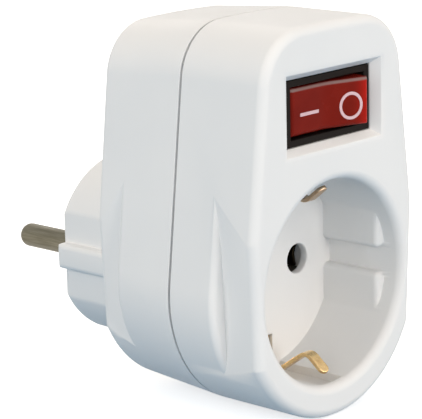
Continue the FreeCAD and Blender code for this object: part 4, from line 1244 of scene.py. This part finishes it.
@dataclass
class RockerSwitch:
    """The lit switch: its body, its rocker with two marks, and the sprung plunger. In millimetres."""

    pivot: Point = (0.0, -52.1, 34.0)
    rest_deg: float = -8.0
    spring_start: float = -54.15
    spring_length: float = 2.98
    spring_radius: float = 0.97
    wire_radius: float = 0.15
    turns: int = 4
    body_edge: Easing = Easing(0.22)
    rocker_edge: Easing = Easing(0.1)
    mark_edge: Easing = Easing(0.05)
    rod_edge: Easing = Easing(0.08)

    def build(self) -> None:
        """Builds the switch. The spring ends short of the rod, to leave room for the rod's travel."""
        EasedPart("switch_body", "switch_housing", Slot.SWITCH, self.body_edge).build()
        EasedPart("red_rocker", "rocker", Slot.ROCKER, self.rocker_edge, Body.ROCKER).build()
        EasedPart("bar_mark", "on_mark", Slot.MARK, self.mark_edge, Body.ROCKER).build()
        EasedPart("ring_mark", "off_mark", Slot.MARK, self.mark_edge, Body.ROCKER).build()
        EasedPart("plunger_rod", "plunger", Slot.INSULATOR, self.rod_edge, Body.PLUNGER).build()
        start = Vector((self.pivot[0], self.spring_start, self.pivot[2]))
        coil = Shape().coil(self.spring_radius, self.wire_radius, self.turns, start, self.spring_length)
        coil.turn(self.rest_deg, Vector(self.pivot))
        coil.piece("coil_spring", ("plunger_spring",), Body.ROCKER, Slot.SPRING)


@dataclass
class SwitchContacts:
    """The tilting blade and what it touches, and the switch's three terminals."""

    edge: Easing = Easing(0.1)

    def build(self) -> None:
        """Builds the blade, the buttons and the terminals."""
        EasedPart("tilting_blade", "contact_blade", Slot.BRASS, self.edge, Body.BLADE).build()
        EasedPart("blade_contact", "blade_button", Slot.SILVER, self.edge, Body.BLADE).build()
        EasedPart("fixed_contact", "fixed_button", Slot.SILVER, self.edge).build()
        EasedPart("terminal_in", "line_in_terminal", Slot.BRASS, self.edge).build()
        EasedPart("terminal_out", "line_out_terminal", Slot.BRASS, self.edge).build()
        EasedPart("terminal_lamp", "lamp_terminal", Slot.BRASS, self.edge).build()


@dataclass
class NeonLamp:
    """The lamp behind the rocker, with its holder, resistor and wiring. Sizes in millimetres."""

    neck: float = 0.12
    cap: float = 0.2
    slope: float = 0.05
    holder_edge: Easing = Easing(0.12)
    cap_edge: Easing = Easing(0.22, segments=3)
    steps: int = 32

    def build(self) -> None:
        """Builds the holder and the resistor, and dresses the electrodes."""
        EasedPart("lamp_bracket", "lamp_holder", Slot.INSULATOR, self.holder_edge).build()
        dress_node("lamp_electrodes", ELECTRODES)
        self.build_resistor()

    def build_resistor(self) -> None:
        """A small resistor, whose body is a little thinner between its two caps."""
        low, high = (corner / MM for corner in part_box("lamp_resistor"))
        radius = (high.x - low.x) / 2
        length = high.y - low.y
        waist = radius * (1 - self.neck)
        inner, outer = self.cap * length, (self.cap + self.slope) * length
        profile = (
            (0.0, low.y), (radius, low.y), (radius, low.y + inner), (waist, low.y + outer),
            (waist, high.y - outer), (radius, high.y - inner), (radius, high.y), (0.0, high.y),
        )
        centre = (low + high) / 2
        shape = Shape().spin(profile, Vector((centre.x, 0.0, centre.z)), Axis.Y, self.steps)
        shape.ease(self.cap_edge)
        shape.piece("banded_resistor", ("lamp_resistor",), Body.HOUSING, Slot.RESISTOR)


def main() -> None:
    """Builds the whole scene, piece by piece."""
    Camera().build()
    Studio(floor_z=CAD_BOX[0][2] - FLOOR_GAP).build()
    for part in frame["record"]["subparts"]:
        dress_node(part["node"], FINISHES[Slot(part["material_slot"])])
    groups = (
        Housing(), PinPair(), EarthCircuit(), LiveCircuit(), Mouldings(),
        RockerSwitch(), SwitchContacts(), NeonLamp(),
    )
    for group in groups:
        LOG.info("%s", type(group).__name__)
        group.build()


if __name__ == "__main__":
    main()
